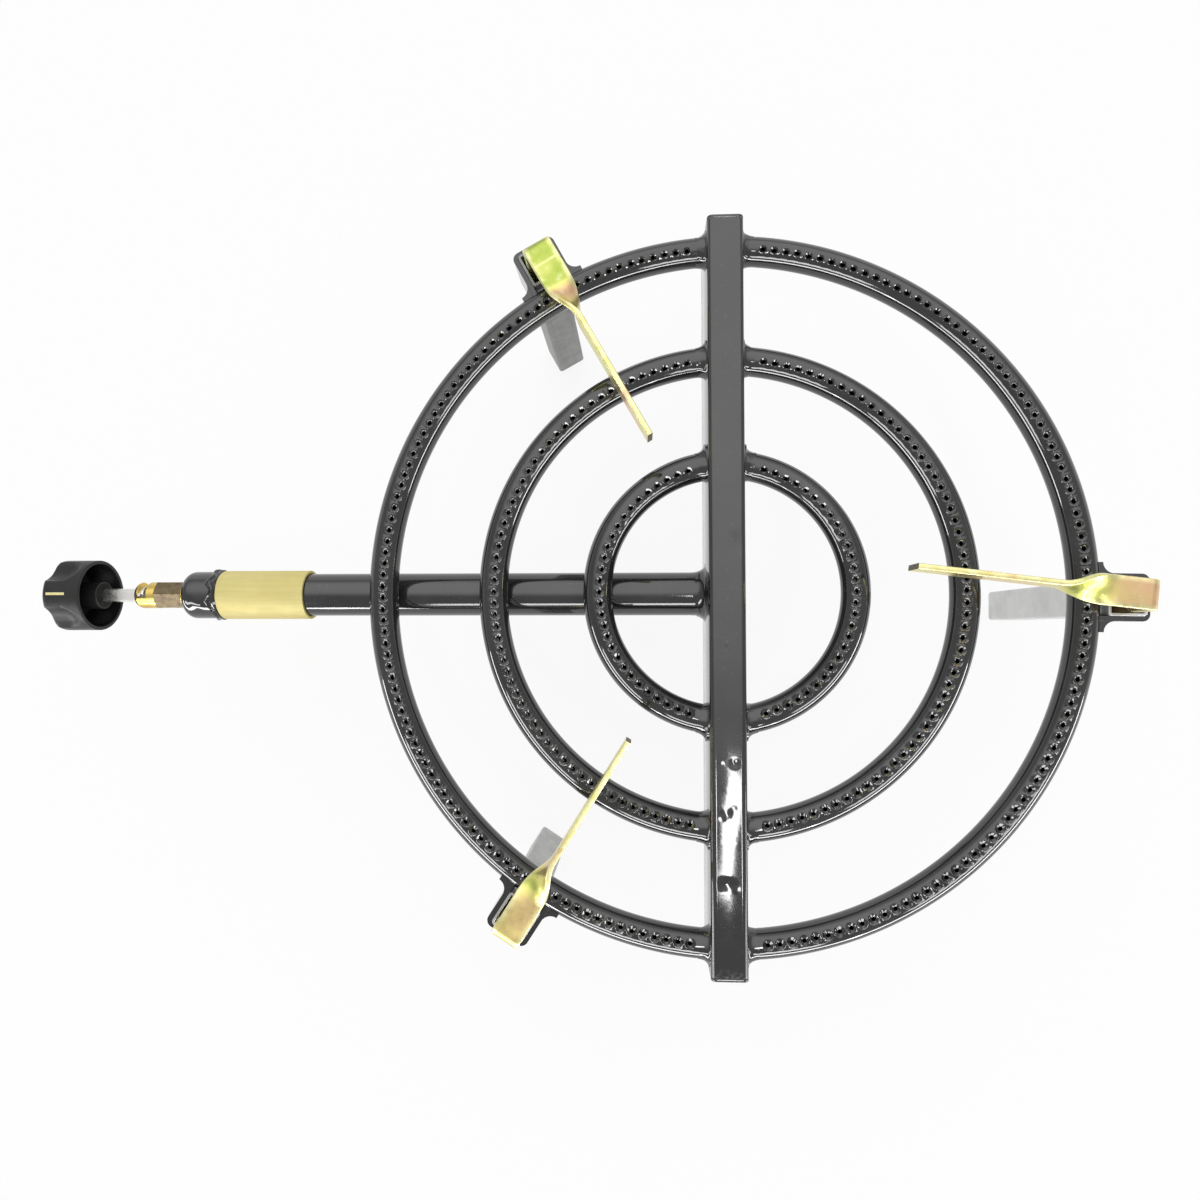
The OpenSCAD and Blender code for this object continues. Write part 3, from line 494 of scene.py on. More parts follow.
# Finish of each slot, with the depth of its relief in millimetres
FINISHES = {
    "enamel": dict(
        name="black_enamel", colour=enamel_colour, rough=dict(scale=60.0, low=0.05, high=0.09),
        relief="Peel", marks=dict(fine=330.0, slow=90.0, wave=1.8), strength=0.04, depth=0.2,
        plain={"IOR": 1.7},
    ),
    "sleeve_brass": dict(
        name="satin_brass", colour=sleeve_colour, rough=dict(scale=160.0, low=0.58, high=0.72),
        relief="Scratch",
        marks=dict(stretch=(18.0, 420.0, 420.0), least=0.3, most=0.8), strength=0.4, depth=0.08,
        plain={"Metallic": 0.3},
    ),
    "tap_brass": dict(
        name="polished_brass", colour=tap_colour, rough=dict(scale=320.0, low=0.2, high=0.34),
        relief="Scratch",
        marks=dict(stretch=(900.0, 130.0, 130.0), least=0.3, most=0.8), strength=0.2, depth=0.03,
        plain={"Metallic": 1.0},
    ),
    # Painted reflection and shade: dark brown copy of the tap's brass, on the hex flats for their dark
    # reflections and on the walls of the bonnet's window and bore for the shade inside
    "forged_brass": dict(
        name="forged_brass", colour=two_tone("brass_shade", "brass_shade_pale", scale=260.0),
        rough=dict(scale=320.0, low=0.3, high=0.45), relief="Scratch",
        marks=dict(stretch=(1400.0, 260.0, 260.0), least=0.3, most=0.8), strength=0.3, depth=0.05,
        plain={"Metallic": 0.6},
    ),
    "bright_steel": dict(
        name="bright_steel", rough=dict(scale=260.0, low=0.2, high=0.34), relief="Scratch",
        colour=two_tone(
            "steel", "steel_line", "Scratch", stretch=(60.0, 1500.0, 1500.0), least=0.35, most=0.75
        ),
        marks=dict(stretch=(50.0, 2600.0, 2600.0), least=0.3, most=0.8), strength=0.06, depth=0.01,
        plain={"Metallic": 1.0},
    ),
    "cut_steel": dict(
        name="cut_steel", colour=two_tone("cut", "cut_light", scale=700.0),
        rough=dict(scale=500.0, low=0.4, high=0.6), relief="Scratch",
        marks=dict(stretch=(500.0, 500.0, 2500.0), least=0.2, most=0.8), strength=0.5, depth=0.1,
        plain={"Metallic": 0.6},
    ),
    "support_zinc": dict(
        name="passivated_zinc", colour=support_colour, rough=dict(scale=120.0, low=0.22, high=0.4),
        relief="Peel", marks=dict(fine=900.0, slow=90.0, wave=2.0), strength=0.15, depth=0.12,
        plain={"Metallic": 0.82},
    ),
    "leg_zinc": dict(
        name="grey_zinc", colour=leg_colour, rough=dict(scale=140.0, low=0.34, high=0.55),
        relief="Scratch",
        marks=dict(stretch=(700.0, 700.0, 30.0), least=0.2, most=0.8), strength=0.25, depth=0.08,
        plain={"Metallic": 0.75},
    ),
    "knob_plastic": dict(
        name="knob_plastic", colour=knob_colour, rough=dict(scale=130.0, low=0.36, high=0.5),
        relief="Peel", marks=dict(fine=1800.0, slow=400.0, wave=0.5), strength=0.2, depth=0.06,
        plain={"Specular IOR Level": 0.28},
    ),
    # Painted shade: a darker, duller copy of the knob's plastic for its hollow and bore
    "knob_inside": dict(
        name="knob_inside", colour=two_tone("knob_inside", "knob_hollow_shade_pale", scale=140.0),
        rough=dict(scale=200.0, low=0.6, high=0.8),
        relief="Peel", marks=dict(fine=1400.0, slow=300.0, wave=1.0), strength=0.3, depth=0.1,
        plain={"Specular IOR Level": 0.2},
    ),
    "pointer_paint": dict(
        name="pointer_paint", colour=two_tone("pointer", "pointer_worn", scale=400.0, low=0.0, high=0.4),
        rough=dict(scale=300.0, low=0.4, high=0.6),
    ),
    "fibre": dict(
        name="pressed_fibre", colour=two_tone("fibre", "fibre_light", scale=900.0),
        rough=dict(scale=500.0, low=0.7, high=0.9),
        relief="Peel", marks=dict(fine=2400.0, slow=700.0, wave=1.0), strength=0.4, depth=0.1,
    ),
}
materials = {}


def new_piece(name, bm, body, slot, replaces, extra_slots=()):
    """Turns a finished bmesh into an object that rides on a body and stands for some of its nodes."""
    mesh = bpy.data.meshes.new(name)
    bm.to_mesh(mesh)
    bm.free()
    mesh.shade_smooth()
    mesh.set_sharp_from_angle(angle=SMOOTH_ANGLE)
    for finish_name in (slot, *extra_slots):
        mesh.materials.append(materials[finish_name])
    piece = bpy.data.objects.new(name, mesh)
    bpy.context.scene.collection.objects.link(piece)
    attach(piece, body)
    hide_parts(*replaces)
    return piece


def only(parts, kind):
    """Those of a mesh's parts that are of one kind."""
    return [part for part in parts if isinstance(part, kind)]


def eased(part):
    """Smooth step from nought to one."""
    return part * part * (3 - 2 * part)


SQUARE = ((-1, -1), (1, -1), (1, 1), (-1, 1))


def round_rectangle(bm, corners, radius, steps):
    """Face between four corners, which are rounded."""
    verts = [bm.verts.new(corner) for corner in corners]
    bm.faces.new(verts)
    bmesh.ops.bevel(
        bm, geom=verts, offset=radius, affect="VERTICES", segments=steps, profile=0.5, material=-1
    )


def face_outwards(bm):
    """Merges doubles and turns every face outwards."""
    bmesh.ops.remove_doubles(bm, verts=bm.verts, dist=MERGE)
    bmesh.ops.recalc_face_normals(bm, faces=bm.faces)


def lathe(bm, outline, steps, turn=math.tau, start=0.0, closed=False):
    """Spins an outline of radius and height points about the Z axis and returns the new vertices."""
    before = set(bm.verts)
    side = Vector((math.cos(start), math.sin(start), 0))
    line = [bm.verts.new(side * radius + Vector((0, 0, height))) for radius, height in outline]
    pairs = list(zip(line, line[1:]))
    if closed:
        pairs.append((line[-1], line[0]))
    edges = [bm.edges.new(pair) for pair in pairs]
    bmesh.ops.spin(
        bm, geom=line + edges, axis=(0, 0, 1), cent=(0, 0, 0), angle=turn, steps=steps,
        use_merge=turn == math.tau,
    )
    return [vert for vert in bm.verts if vert not in before]


# Steps round a small edge
EDGE_STEPS = 3


def arc(centre, radius, first, last, steps=EDGE_STEPS):
    """Points of an arc as radius and height pairs, with its angles in degrees."""
    angles = [math.radians(first + (last - first) * step / steps) for step in range(steps + 1)]
    return [(centre[0] + radius * math.cos(a), centre[1] + radius * math.sin(a)) for a in angles]


def run_out(bm, edges, step, count):
    """Extrudes a chain of edges on by equal steps and returns its last place."""
    for _ in range(count):
        made = bmesh.ops.extrude_edge_only(bm, edges=edges)["geom"]
        verts = only(made, BMVert)
        fresh = set(verts)
        edges = [edge for edge in only(made, BMEdge) if fresh.issuperset(edge.verts)]
        bmesh.ops.translate(bm, verts=verts, vec=step)
    return edges


def ripple(bm, verts, height, spacing, seed):
    """Moves vertices along their normals by smooth lumps."""
    bm.normal_update()
    shift = Vector((seed, -seed, seed / 2))
    for vert in verts:
        vert.co += vert.normal * height * noise.noise(vert.co / spacing + shift)


def softened(node, width, segments=2, worn=0.0):
    """Copy of a node's mesh, with its flat triangles joined and its sharp edges rounded and worn."""
    bm = bmesh.new()
    bm.from_mesh(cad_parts[node].data)
    wear = bm.verts.layers.float.new("wear")
    bmesh.ops.remove_doubles(bm, verts=bm.verts, dist=MERGE)
    bmesh.ops.dissolve_limit(bm, angle_limit=FLAT_ANGLE, verts=bm.verts, edges=bm.edges)
    bm.normal_update()
    sharp = [edge for edge in bm.edges if edge.is_manifold and edge.calc_face_angle() > SHARP_ANGLE]
    made = bmesh.ops.bevel(
        bm, geom=sharp, offset=width, offset_type="OFFSET", affect="EDGES", segments=segments, profile=0.5,
        material=-1, clamp_overlap=True,
    )
    for vert in made["verts"]:
        vert[wear] = worn
    return bm


def soft_piece(name, bm, body, slot, node, extra_slots=()):
    """Piece made from a node's own rounded mesh, shaded so that its flats stay flat."""
    piece = new_piece(name, bm, body, slot, [node], extra_slots)
    piece.modifiers.new("flat_faces", "WEIGHTED_NORMAL").keep_sharp = True
    return piece


PORT_SIDES = 12
# Reach of a port's round field before it is squared, in half pitches
PORT_FIELD = 1.2
TUBE_STEPS = 13
END_STEP = 4 * MM


def flame_port(sizes, half_pitch):
    """Square of flat tube wall with a flame port: the hole, its coned edge, the raised lip and its foot."""
    bm = bmesh.new()
    bm.verts.layers.float.new("wear")
    hole_r = sizes.port_d / 2
    outline = [
        (hole_r, -sizes.edge_drop),
        (hole_r, -sizes.cone_drop),
        (sizes.cone_r, 0),
        (sizes.lip_r, sizes.lip_h),
        (sizes.foot_r, 0),
        (half_pitch * PORT_FIELD, 0),
    ]
    lathe(bm, outline, PORT_SIDES, start=math.pi / 4)
    for vert in bm.verts:
        if vert.co.xy.length > sizes.foot_r + MERGE:
            vert.co *= half_pitch / max(abs(vert.co.x), abs(vert.co.y))
    return bm


def wrap_tube(bm, half_pitch):
    """Runs a port's square on, either way, to meet itself under the tube."""
    step = (math.pi * RING_TUBE_R - half_pitch) / TUBE_STEPS
    for side in (-1, 1):
        edge_line = [
            edge for edge in bm.edges
            if all(abs(vert.co.y - side * half_pitch) < MERGE for vert in edge.verts)
        ]
        run_out(bm, edge_line, Vector((0, side * step, 0)), TUBE_STEPS)


def uneven_lip(verts, middle, half_pitch, sizes, rear_share, draw):
    """Shifts one port and makes its lip uneven, leaving the edge of its square alone."""
    slop = Vector((draw.uniform(-1, 1), draw.uniform(-1, 1), 0)) * sizes.port_slop
    rise = 1 - (1 - sizes.rear_lip) * rear_share
    sink = sizes.front_cone + (1 - sizes.front_cone) * rear_share
    for vert in verts:
        reach = (vert.co - middle).xy.length
        if reach > sizes.foot_r + MERGE:
            continue
        if vert.co.z > MERGE:
            vert.co.z *= rise * draw.uniform(1 - sizes.lip_jitter, 1 + sizes.lip_jitter)
        elif vert.co.z < -MERGE:
            vert.co.z *= sink
        vert.co += slop * (1 - reach / half_pitch)


def half_ring(sizes, ring_r, facing, seed):
    """Half of a ring, bent from a flat row of ports, with its facing angle and its own unevenness."""
    draw = random.Random(seed)
    margin = math.asin((BAR_HALF + sizes.port_margin) / ring_r)
    span = math.pi - 2 * margin
    steps = int(span * ring_r / sizes.port_pitch)
    pitch = span / steps
    half_pitch = pitch * ring_r / 2
    bm = flame_port(sizes, half_pitch)
    wrap_tube(bm, half_pitch)
    first = bm.verts[:] + bm.edges[:] + bm.faces[:]
    rows = [only(first, BMVert)]
    for step in range(1, steps + 1):
        verts = only(bmesh.ops.duplicate(bm, geom=first)["geom"], BMVert)
        bmesh.ops.translate(bm, verts=verts, vec=(step * pitch * ring_r, 0, 0))
        rows.append(verts)
    for step, verts in enumerate(rows):
        turn = facing - math.pi / 2 + margin + step * pitch
        rear_share = (1 + math.sin(turn)) / 2
        middle = Vector((step * pitch * ring_r, 0, 0))
        uneven_lip(verts, middle, half_pitch, sizes, rear_share, draw)
    bmesh.ops.remove_doubles(bm, verts=bm.verts, dist=MERGE)
    run_ends(bm, ring_r, margin - pitch / 2)
    bend_to_ring(bm, ring_r, margin - math.pi / 2, sizes.port_lean)
    cut = bm.verts[:] + bm.edges[:] + bm.faces[:]
    bmesh.ops.bisect_plane(
        bm, geom=cut, plane_co=(BAR_HALF, 0, 0), plane_no=(-1, 0, 0), clear_outer=True
    )
    face_outwards(bm)
    bmesh.ops.solidify(bm, geom=bm.faces[:], thickness=sizes.wall)
    place = Matrix.Translation(RING_CENTRE) @ Matrix.Rotation(facing, 4, "Z")
    bmesh.ops.transform(bm, matrix=place, verts=bm.verts)
    return bm


def run_ends(bm, ring_r, plain_angle):
    """Runs both ends of a row of ports on past the crossbar's side."""
    count = math.ceil((plain_angle * ring_r + RING_TUBE_R) / END_STEP)
    for pick, direction in ((min, -1), (max, 1)):
        end = pick(vert.co.x for vert in bm.verts)
        edge_line = [
            edge for edge in bm.edges if all(abs(vert.co.x - end) < MERGE for vert in edge.verts)
        ]
        run_out(bm, edge_line, Vector((direction * END_STEP, 0, 0)), count)


def bend_to_ring(bm, ring_r, start, port_lean):
    """Bends a flat row round the tube, with its ports leaning inwards, and along the ring."""
    for vert in bm.verts:
        turn = start + vert.co.x / ring_r
        lean = -vert.co.y / RING_TUBE_R - port_lean
        reach = RING_TUBE_R + vert.co.z
        out = ring_r + reach * math.sin(lean)
        vert.co = Vector((out * math.cos(turn), out * math.sin(turn), reach * math.cos(lean)))


def ring_radius(name):
    """Radius of a ring's middle line."""
    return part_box(f"{name}_ring_right")[1].x - RING_CENTRE.x - RING_TUBE_R


class BURNER_OT_rings(bpy.types.Operator):
    """Half rings in enamel, with a raised lip round each flame port"""

    bl_idname = "burner.rings"
    bl_label = "Half rings"

    def execute(self, context):
        sizes = context.scene.burner_rings
        for name in RING_NAMES:
            for side, facing in (("right", 0.0), ("left", math.pi)):
                bm = half_ring(sizes, ring_radius(name), facing, f"{name} {side}")
                node = f"{name}_ring_{side}"
                new_piece(f"enamelled_{node}", bm, ROOT, "enamel", [node])
        return {"FINISHED"}


# Dents and blisters on the crossbar's top: place across and along from the middle, radius and depth, in
# millimetres
BAR_DENTS = (
    (4.1, 34, 5, -0.25),
    (7, 25, 7, 0.3),
    (-0.3, -28, 1.6, -0.12),
    (0.6, -30.5, 1.2, -0.1),
    (-1, -31, 1.2, 0.1),
    (3.2, -92.5, 3.6, 0.24),
    (3.4, -91.5, 1.4, -0.14),
    (-4.5, -93, 2.6, 0.09),
    (-1.8, -119.5, 4.4, 0.16),
    (-3.6, -121, 2.4, -0.1),
    (2.6, -116.5, 3, -0.08),
    (-3.2, -156, 5, 0.24),
    (0.4, -156.5, 5, 0.2),
    (3.6, -159, 3, -0.08),
    (-2, 120, 12, 0.1),
)
# Where each run of the crossbar ends, from the middle, and the length of its steps, in millimetres
BAR_RUNS = ((-168, 3), (-88, 0.7), (-26, 1), (44, 2), (None, 4))
BAR_TOP_CUTS = 25
CHIPPED_END = 4 * MM
CORNER_STEPS = 5


def bar_outline(bm, sizes):
    """Outline of the crossbar in its end plane, with round corners and a finely divided top."""
    half_h = (bar_high.z - bar_low.z) / 2
    middle = (bar_high.z + bar_low.z) / 2
    corners = [(RING_CENTRE.x + x * BAR_HALF, bar_low.y, middle + z * half_h) for x, z in SQUARE]
    round_rectangle(bm, corners, sizes.corner_r, CORNER_STEPS)
    top = [edge for edge in bm.edges if all(abs(vert.co.z - bar_high.z) < MERGE for vert in edge.verts)]
    bmesh.ops.subdivide_edges(bm, edges=top, cuts=BAR_TOP_CUTS)


def press_dents(bm, sizes):
    """Sinks the top of the crossbar, waves it and presses the dents into it."""
    for vert in bm.verts:
        if vert.co.z < bar_high.z - sizes.corner_r:
            continue
        across = vert.co.x - RING_CENTRE.x
        along = vert.co.y - RING_CENTRE.y
        inner = max(0.0, 1 - (across / BAR_HALF) ** 2)
        wave = noise.noise(Vector((across * 2, along, 0)) / sizes.wave_len)
        vert.co.z += inner * (sizes.wave * wave - sizes.sink)
        for dent_x, dent_y, dent_r, depth in BAR_DENTS:
            near = 1 - math.hypot(across - dent_x * MM, along - dent_y * MM) / (dent_r * MM)
            if near > 0:
                vert.co.z -= inner * depth * MM * eased(near)


class BURNER_OT_crossbar(bpy.types.Operator):
    """Crossbar in enamel, with a sunk and dented top, and its end plates"""

    bl_idname = "burner.crossbar"
    bl_label = "Crossbar"

    def execute(self, context):
        sizes = context.scene.burner_bar
        bm = bmesh.new()
        wear = bm.verts.layers.float.new("wear")
        bar_outline(bm, sizes)
        edges = bm.edges[:]
        start = bar_low.y
        for run_end, step in BAR_RUNS:
            end = bar_high.y if run_end is None else RING_CENTRE.y + run_end * MM
            count = math.ceil((end - start) / (step * MM))
            edges = run_out(bm, edges, Vector((0, (end - start) / count, 0)), count)
            start = end
        open_edges = [edge for edge in bm.edges if edge.is_boundary]
        bmesh.ops.holes_fill(bm, edges=open_edges)
        press_dents(bm, sizes)
        for vert in bm.verts:
            vert[wear] = max(0.0, 1 - (vert.co.y - bar_low.y) / CHIPPED_END)
        face_outwards(bm)
        new_piece("enamelled_crossbar", bm, ROOT, "enamel", ["crossbar"])
        plates = softened("crossbar_end_plates", context.scene.burner_edges.plate)
        soft_piece("enamelled_end_plates", plates, ROOT, "enamel", "crossbar_end_plates")
        return {"FINISHED"}


WELD_STEPS = 40
WELD_RUN_SHARE = 1.5
WELD_SINK = 1.2 * MM
WELD_CURVE = 5


def weld_collar(bm, tube_r, flare, flare_up, flare_down, place, sizes, seed):
    """Weld with a hollow face round a tube, whose flare is cut short either way along the local Y axis."""
    run = WELD_RUN_SHARE * flare
    hollow = [
        (tube_r + flare * (1 - math.sin(turn)), run * (1 - math.cos(turn)))
        for turn in (math.pi / 2 * step / WELD_CURVE for step in range(WELD_CURVE + 1))
    ]
    inside = tube_r - sizes.lump_h
    outline = [(inside, -WELD_SINK), (tube_r + flare, -WELD_SINK), *hollow, (inside, run)]
    verts = lathe(bm, outline, WELD_STEPS, closed=True)
    for vert in verts:
        reach = vert.co.xy.length
        rise = vert.co.y / reach
        limit = flare_up if rise > 0 else flare_down
        kept = 1 - rise * rise * (1 - limit / flare)
        if reach > tube_r:
            vert.co.xy *= (tube_r + (reach - tube_r) * kept) / reach
    ripple(bm, verts, sizes.lump_h, sizes.lump_len, seed)
    bmesh.ops.transform(bm, matrix=place, verts=verts)


class BURNER_OT_welds(bpy.types.Operator):
    """Weld beads of the rings and the feed tube on the crossbar"""

    bl_idname = "burner.welds"
    bl_label = "Weld beads"

    def execute(self, context):
        sizes = context.scene.burner_welds
        corner = context.scene.burner_bar.corner_r
        bm = bmesh.new()
        seed = 0
        room_up = bar_high.z - corner - RING_CENTRE.z - RING_TUBE_R
        for name in RING_NAMES:
            ring_r = ring_radius(name)
            lean = math.asin(BAR_HALF / ring_r)
            for side in (0, math.pi):
                for end in (-1, 1):
                    place = (
                        Matrix.Translation(RING_CENTRE)
                        @ Matrix.Rotation(side + end * (math.pi / 2 - lean), 4, "Z")
                        @ Matrix.Translation((ring_r, 0, 0))
                        @ Matrix.Rotation(end * math.pi / 2, 4, "X")
                    )
                    seed += 1
                    flares = (room_up, sizes.ring_flare)[::end]
                    weld_collar(bm, RING_TUBE_R, sizes.ring_flare, *flares, place, sizes, seed)
        face_outwards(bm)
        new_piece("enamelled_ring_welds", bm, ROOT, "enamel", ["ring_welds"])
        bm = bmesh.new()
        # Local Z axis out along the feed tube, local Y axis down
        place = Matrix.Translation((bar_low.x, FEED_AXIS.y, FEED_AXIS.z)) @ Matrix(
            ((0, 0, -1, 0), (1, 0, 0, 0), (0, -1, 0, 0), (0, 0, 0, 1))
        )
        room_down = FEED_AXIS.z - FEED_R - bar_low.z - corner
        weld_collar(bm, FEED_R, sizes.feed_flare, room_down, sizes.feed_flare, place, sizes, seed + 1)
        face_outwards(bm)
        new_piece("enamelled_feed_weld", bm, ROOT, "enamel", ["feed_weld"])
        return {"FINISHED"}


CAP_STEPS = 72
CAP_ROUND = 6 * MM
CAP_ROUND_STEPS = 10
CAP_SIDE_STEP = 3 * MM
CAP_SIDE_STEPS = 3
CAP_BORE_R = 5 * MM
# Place of the enamel run along the cap and round it from the top
CAP_BUMP_PLACE = (12.4 * MM, math.radians(24))
CAP_BUMP_REACH = 5 * MM
BEAD_SINK = 0.2 * MM
# Outline of the bead from behind the cap's rim over the cap: shares of the bead's height and of its run
BEAD_BACK = 0.7
BEAD_OUTLINE = ((0.5, 0), (0, 0.25), (0.1, 0.4), (1, 0.6), (0.9, 0.75), (-0.1, 1))
# Level and scale of the noise by which the bead wanders and swells, and the share of its height that swells
BEAD_WANDER = (0.3, 2.1)
BEAD_SWELL = (4.0, 3.4)
BEAD_SWELL_SHARE = 0.8


def cap_skin(sizes):
    """End cap with an enamel run on its top."""
    bm = bmesh.new()
    cap_len = cap_high.x - cap_low.x
    seat = feed_low.x - cap_low.x
    outline = [
        (CAP_BORE_R, seat),
        (CAP_BORE_R, 0),
        *arc((CAP_R - CAP_ROUND, CAP_ROUND), CAP_ROUND, -90, 0, CAP_ROUND_STEPS),
        *((CAP_R, CAP_ROUND + step * CAP_SIDE_STEP) for step in range(1, CAP_SIDE_STEPS + 1)),
        (CAP_R, cap_len),
        (FEED_R, cap_len),
        (FEED_R, seat),
    ]
    lathe(bm, outline, CAP_STEPS, closed=True)
    face_outwards(bm)
    along, round_turn = CAP_BUMP_PLACE
    spot = Vector((-math.cos(round_turn) * CAP_R, -math.sin(round_turn) * CAP_R, along))
    bm.normal_update()
    for vert in bm.verts:
        near = 1 - (vert.co - spot).length / CAP_BUMP_REACH
        if near > 0:
            vert.co += vert.normal * sizes.cap_bump * eased(near)
    bmesh.ops.transform(bm, matrix=CAP_FRAME, verts=bm.verts)
    return bm


def round_noise(turn, level, scale):
    """Noise that closes on itself round a circle."""
    return noise.noise(Vector((math.cos(turn), math.sin(turn), level)) * scale)


def cap_bead(sizes):
    """Bead at the cap's rim, which wanders over the cap."""
    bm = bmesh.new()
    weld_low, weld_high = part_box("cap_weld")
    end = weld_high.x - feed_low.x
    rim = weld_low.x - feed_low.x
    outline = [
        (FEED_R - BEAD_SINK, end),
        (CAP_R - BEAD_SINK, end),
        (CAP_R + BEAD_BACK * sizes.cap_lip, (rim + end) / 2),
        *((CAP_R + up * sizes.cap_lip, rim - run * sizes.cap_run) for up, run in BEAD_OUTLINE),
        (FEED_R - BEAD_SINK, rim - sizes.cap_run),
    ]
    lathe(bm, outline, CAP_STEPS, closed=True)
    for vert in bm.verts:
        turn = math.atan2(vert.co.y, vert.co.x)
        back = max(0.0, (end - vert.co.z) / (end - rim + sizes.cap_run))
        vert.co.z += back * round_noise(turn, *BEAD_WANDER) * sizes.cap_run
        if vert.co.xy.length > CAP_R:
            swell = round_noise(turn, *BEAD_SWELL) * BEAD_SWELL_SHARE
            vert.co.xy *= 1 + swell * sizes.cap_lip / CAP_R
    face_outwards(bm)
    bmesh.ops.transform(bm, matrix=FEED_FRAME, verts=bm.verts)
    return bm


class BURNER_OT_feed(bpy.types.Operator):
    """End cap of the feed tube and the bead at the cap's rim"""

    bl_idname = "burner.feed"
    bl_label = "End cap"

    def execute(self, context):
        sizes = context.scene.burner_welds
        new_piece("enamelled_end_cap", cap_skin(sizes), ROOT, "enamel", ["tube_end_cap"])
        new_piece("enamelled_cap_bead", cap_bead(sizes), ROOT, "enamel", ["cap_weld"])
        return {"FINISHED"}


SLEEVE_STEPS = 96
SLEEVE_GAP = 0.1 * MM


class BURNER_OT_sleeve(bpy.types.Operator):
    """Air sleeve of rolled brass, split along its underside"""

    bl_idname = "burner.sleeve"
    bl_label = "Air sleeve"

    def execute(self, context):
        sizes = context.scene.burner_edges
        outer_r = (sleeve_high.z - sleeve_low.z) / 2
        inner_r = FEED_R + SLEEVE_GAP
        start = sleeve_low.x - feed_low.x
        end = sleeve_high.x - feed_low.x
        bm = bmesh.new()
        edge = sizes.sleeve
        outline = [
            *arc((inner_r + edge, start + edge), edge, 180, 270),
            *arc((outer_r - edge, start + edge), edge, 270, 360),
            *arc((outer_r - edge, end - edge), edge, 0, 90),
            *arc((inner_r + edge, end - edge), edge, 90, 180),
        ]
        half_split = math.asin(sizes.sleeve_split / 2 / outer_r)
        lathe(bm, outline, SLEEVE_STEPS, turn=math.tau - 2 * half_split, start=half_split, closed=True)
        bmesh.ops.holes_fill(bm, edges=[side for side in bm.edges if side.is_boundary])
        face_outwards(bm)
        bmesh.ops.transform(bm, matrix=FEED_FRAME, verts=bm.verts)
        new_piece("brass_air_sleeve", bm, "sleeve", "sleeve_brass", ["air_sleeve"])
        return {"FINISHED"}


# Least area of a side flat that takes the dark brass, a painted dark reflection
SHADED_FLAT_AREA = 40 * MM * MM
# Least distance from the tap's axis at which a face is a wall of the window or the bore
BORE_LEAST = 1 * MM
# Shares of a normal along the tap, below which a face looks sideways and above which it looks endways
SIDEWAYS = 0.1
ENDWAYS = 0.9
# Share of a normal away from the axis, below which a face is a wall of the window or the bore
OUTWARDS = 0.3
BRASS_WEAR = 0.35


class BURNER_OT_tap(bpy.types.Operator):
    """Turned brass pieces of the tap, with their edges rounded"""

    bl_idname = "burner.tap"
    bl_label = "Tap"

    def execute(self, context):
        width = context.scene.burner_edges.tap
        for node in ("tap_body", "tap_bonnet", "hose_nozzle"):
            bm = softened(node, width, worn=BRASS_WEAR)
            for face in bm.faces:
                endwise = abs(face.normal.x)
                flat = endwise < SIDEWAYS and face.calc_area() > SHADED_FLAT_AREA
                out = face.calc_center_median() - FEED_AXIS
                out.x = 0
                inner = out.length > BORE_LEAST and face.normal.dot(out.normalized()) < OUTWARDS
                # Large side flats take the dark brass as a painted dark reflection, and the walls of the
                # bonnet's window and bore take it as painted shade
                if flat or node == "tap_bonnet" and inner and endwise < ENDWAYS:
                    face.material_index = 1
            soft_piece(f"brass_{node}", bm, ROOT, "tap_brass", node, ["forged_brass"])
        spindle = softened("spindle", width)
        soft_piece("steel_spindle", spindle, "knob_and_spindle", "bright_steel", "spindle")
        return {"FINISHED"}


KNOB_STEPS = 120
KNOB_SIDE_STEPS = 18
KNOB_FRONT_STEPS = 5
KNOB_ROUND_STEPS = 8
FLUTE_TURNS = [math.pi / 4 + quarter * math.pi / 2 for quarter in range(4)]


def soft_least(first, second, blend):
    """Lesser of two lengths, with a rounded change from one to the other."""
    near = max(blend - abs(first - second), 0) / blend
    return min(first, second) - near * near * blend / 4


def flute_limit(sizes, knob_r, turn, height, wall):
    """Radius at which a finger flute, grown by a wall, cuts the knob, or nothing where it doesn't."""
    pitch_r = knob_r - sizes.flute_depth + sizes.flute_r
    before = max(0.0, sizes.flute_start - height)
    squared = (sizes.flute_r + wall) ** 2 - before * before
    nearest = min(abs((turn - flute + math.pi) % math.tau - math.pi) for flute in FLUTE_TURNS)
    squared -= (pitch_r * math.sin(nearest)) ** 2
    if squared <= 0:
        return None
    return pitch_r * math.cos(nearest) - math.sqrt(squared)


def knob_outline(sizes, knob_r, knob_len):
    """Half section of the knob, from the middle of its front round the rim to the bottom of its bore."""
    front_r = knob_r - sizes.front_r
    front_arc = arc((front_r, knob_len - sizes.front_r), sizes.front_r, 90, 0, KNOB_ROUND_STEPS)
    side_len = knob_len - sizes.front_r - sizes.edge_r
    side = [
        (knob_r, sizes.edge_r + side_len * (1 - step / KNOB_SIDE_STEPS)) for step in range(KNOB_SIDE_STEPS)
    ]
    inner_r = knob_r - sizes.wall
    hollow_steps = KNOB_SIDE_STEPS // 2
    inside = [
        (inner_r, sizes.edge_r + (sizes.hollow - sizes.edge_r) * step / hollow_steps)
        for step in range(hollow_steps + 1)
    ]
    hub_r = sizes.hub_d / 2
    bore_r = sizes.bore_d / 2
    return [
        *((front_r * step / KNOB_FRONT_STEPS, knob_len) for step in range(KNOB_FRONT_STEPS)),
        *front_arc,
        *side[1:],
        *arc((knob_r - sizes.edge_r, sizes.edge_r), sizes.edge_r, 0, -90),
        *arc((inner_r + sizes.edge_r, sizes.edge_r), sizes.edge_r, -90, -180),
        *inside[1:],
        (hub_r, sizes.hollow),
        *arc((hub_r - sizes.edge_r, sizes.edge_r - sizes.hub_proud), sizes.edge_r, 0, -90),
        *arc((bore_r + sizes.edge_r, sizes.edge_r - sizes.hub_proud), sizes.edge_r, -90, -180),
        (bore_r, sizes.bore_depth - sizes.hub_proud),
        (0, sizes.bore_depth - sizes.hub_proud),
    ]


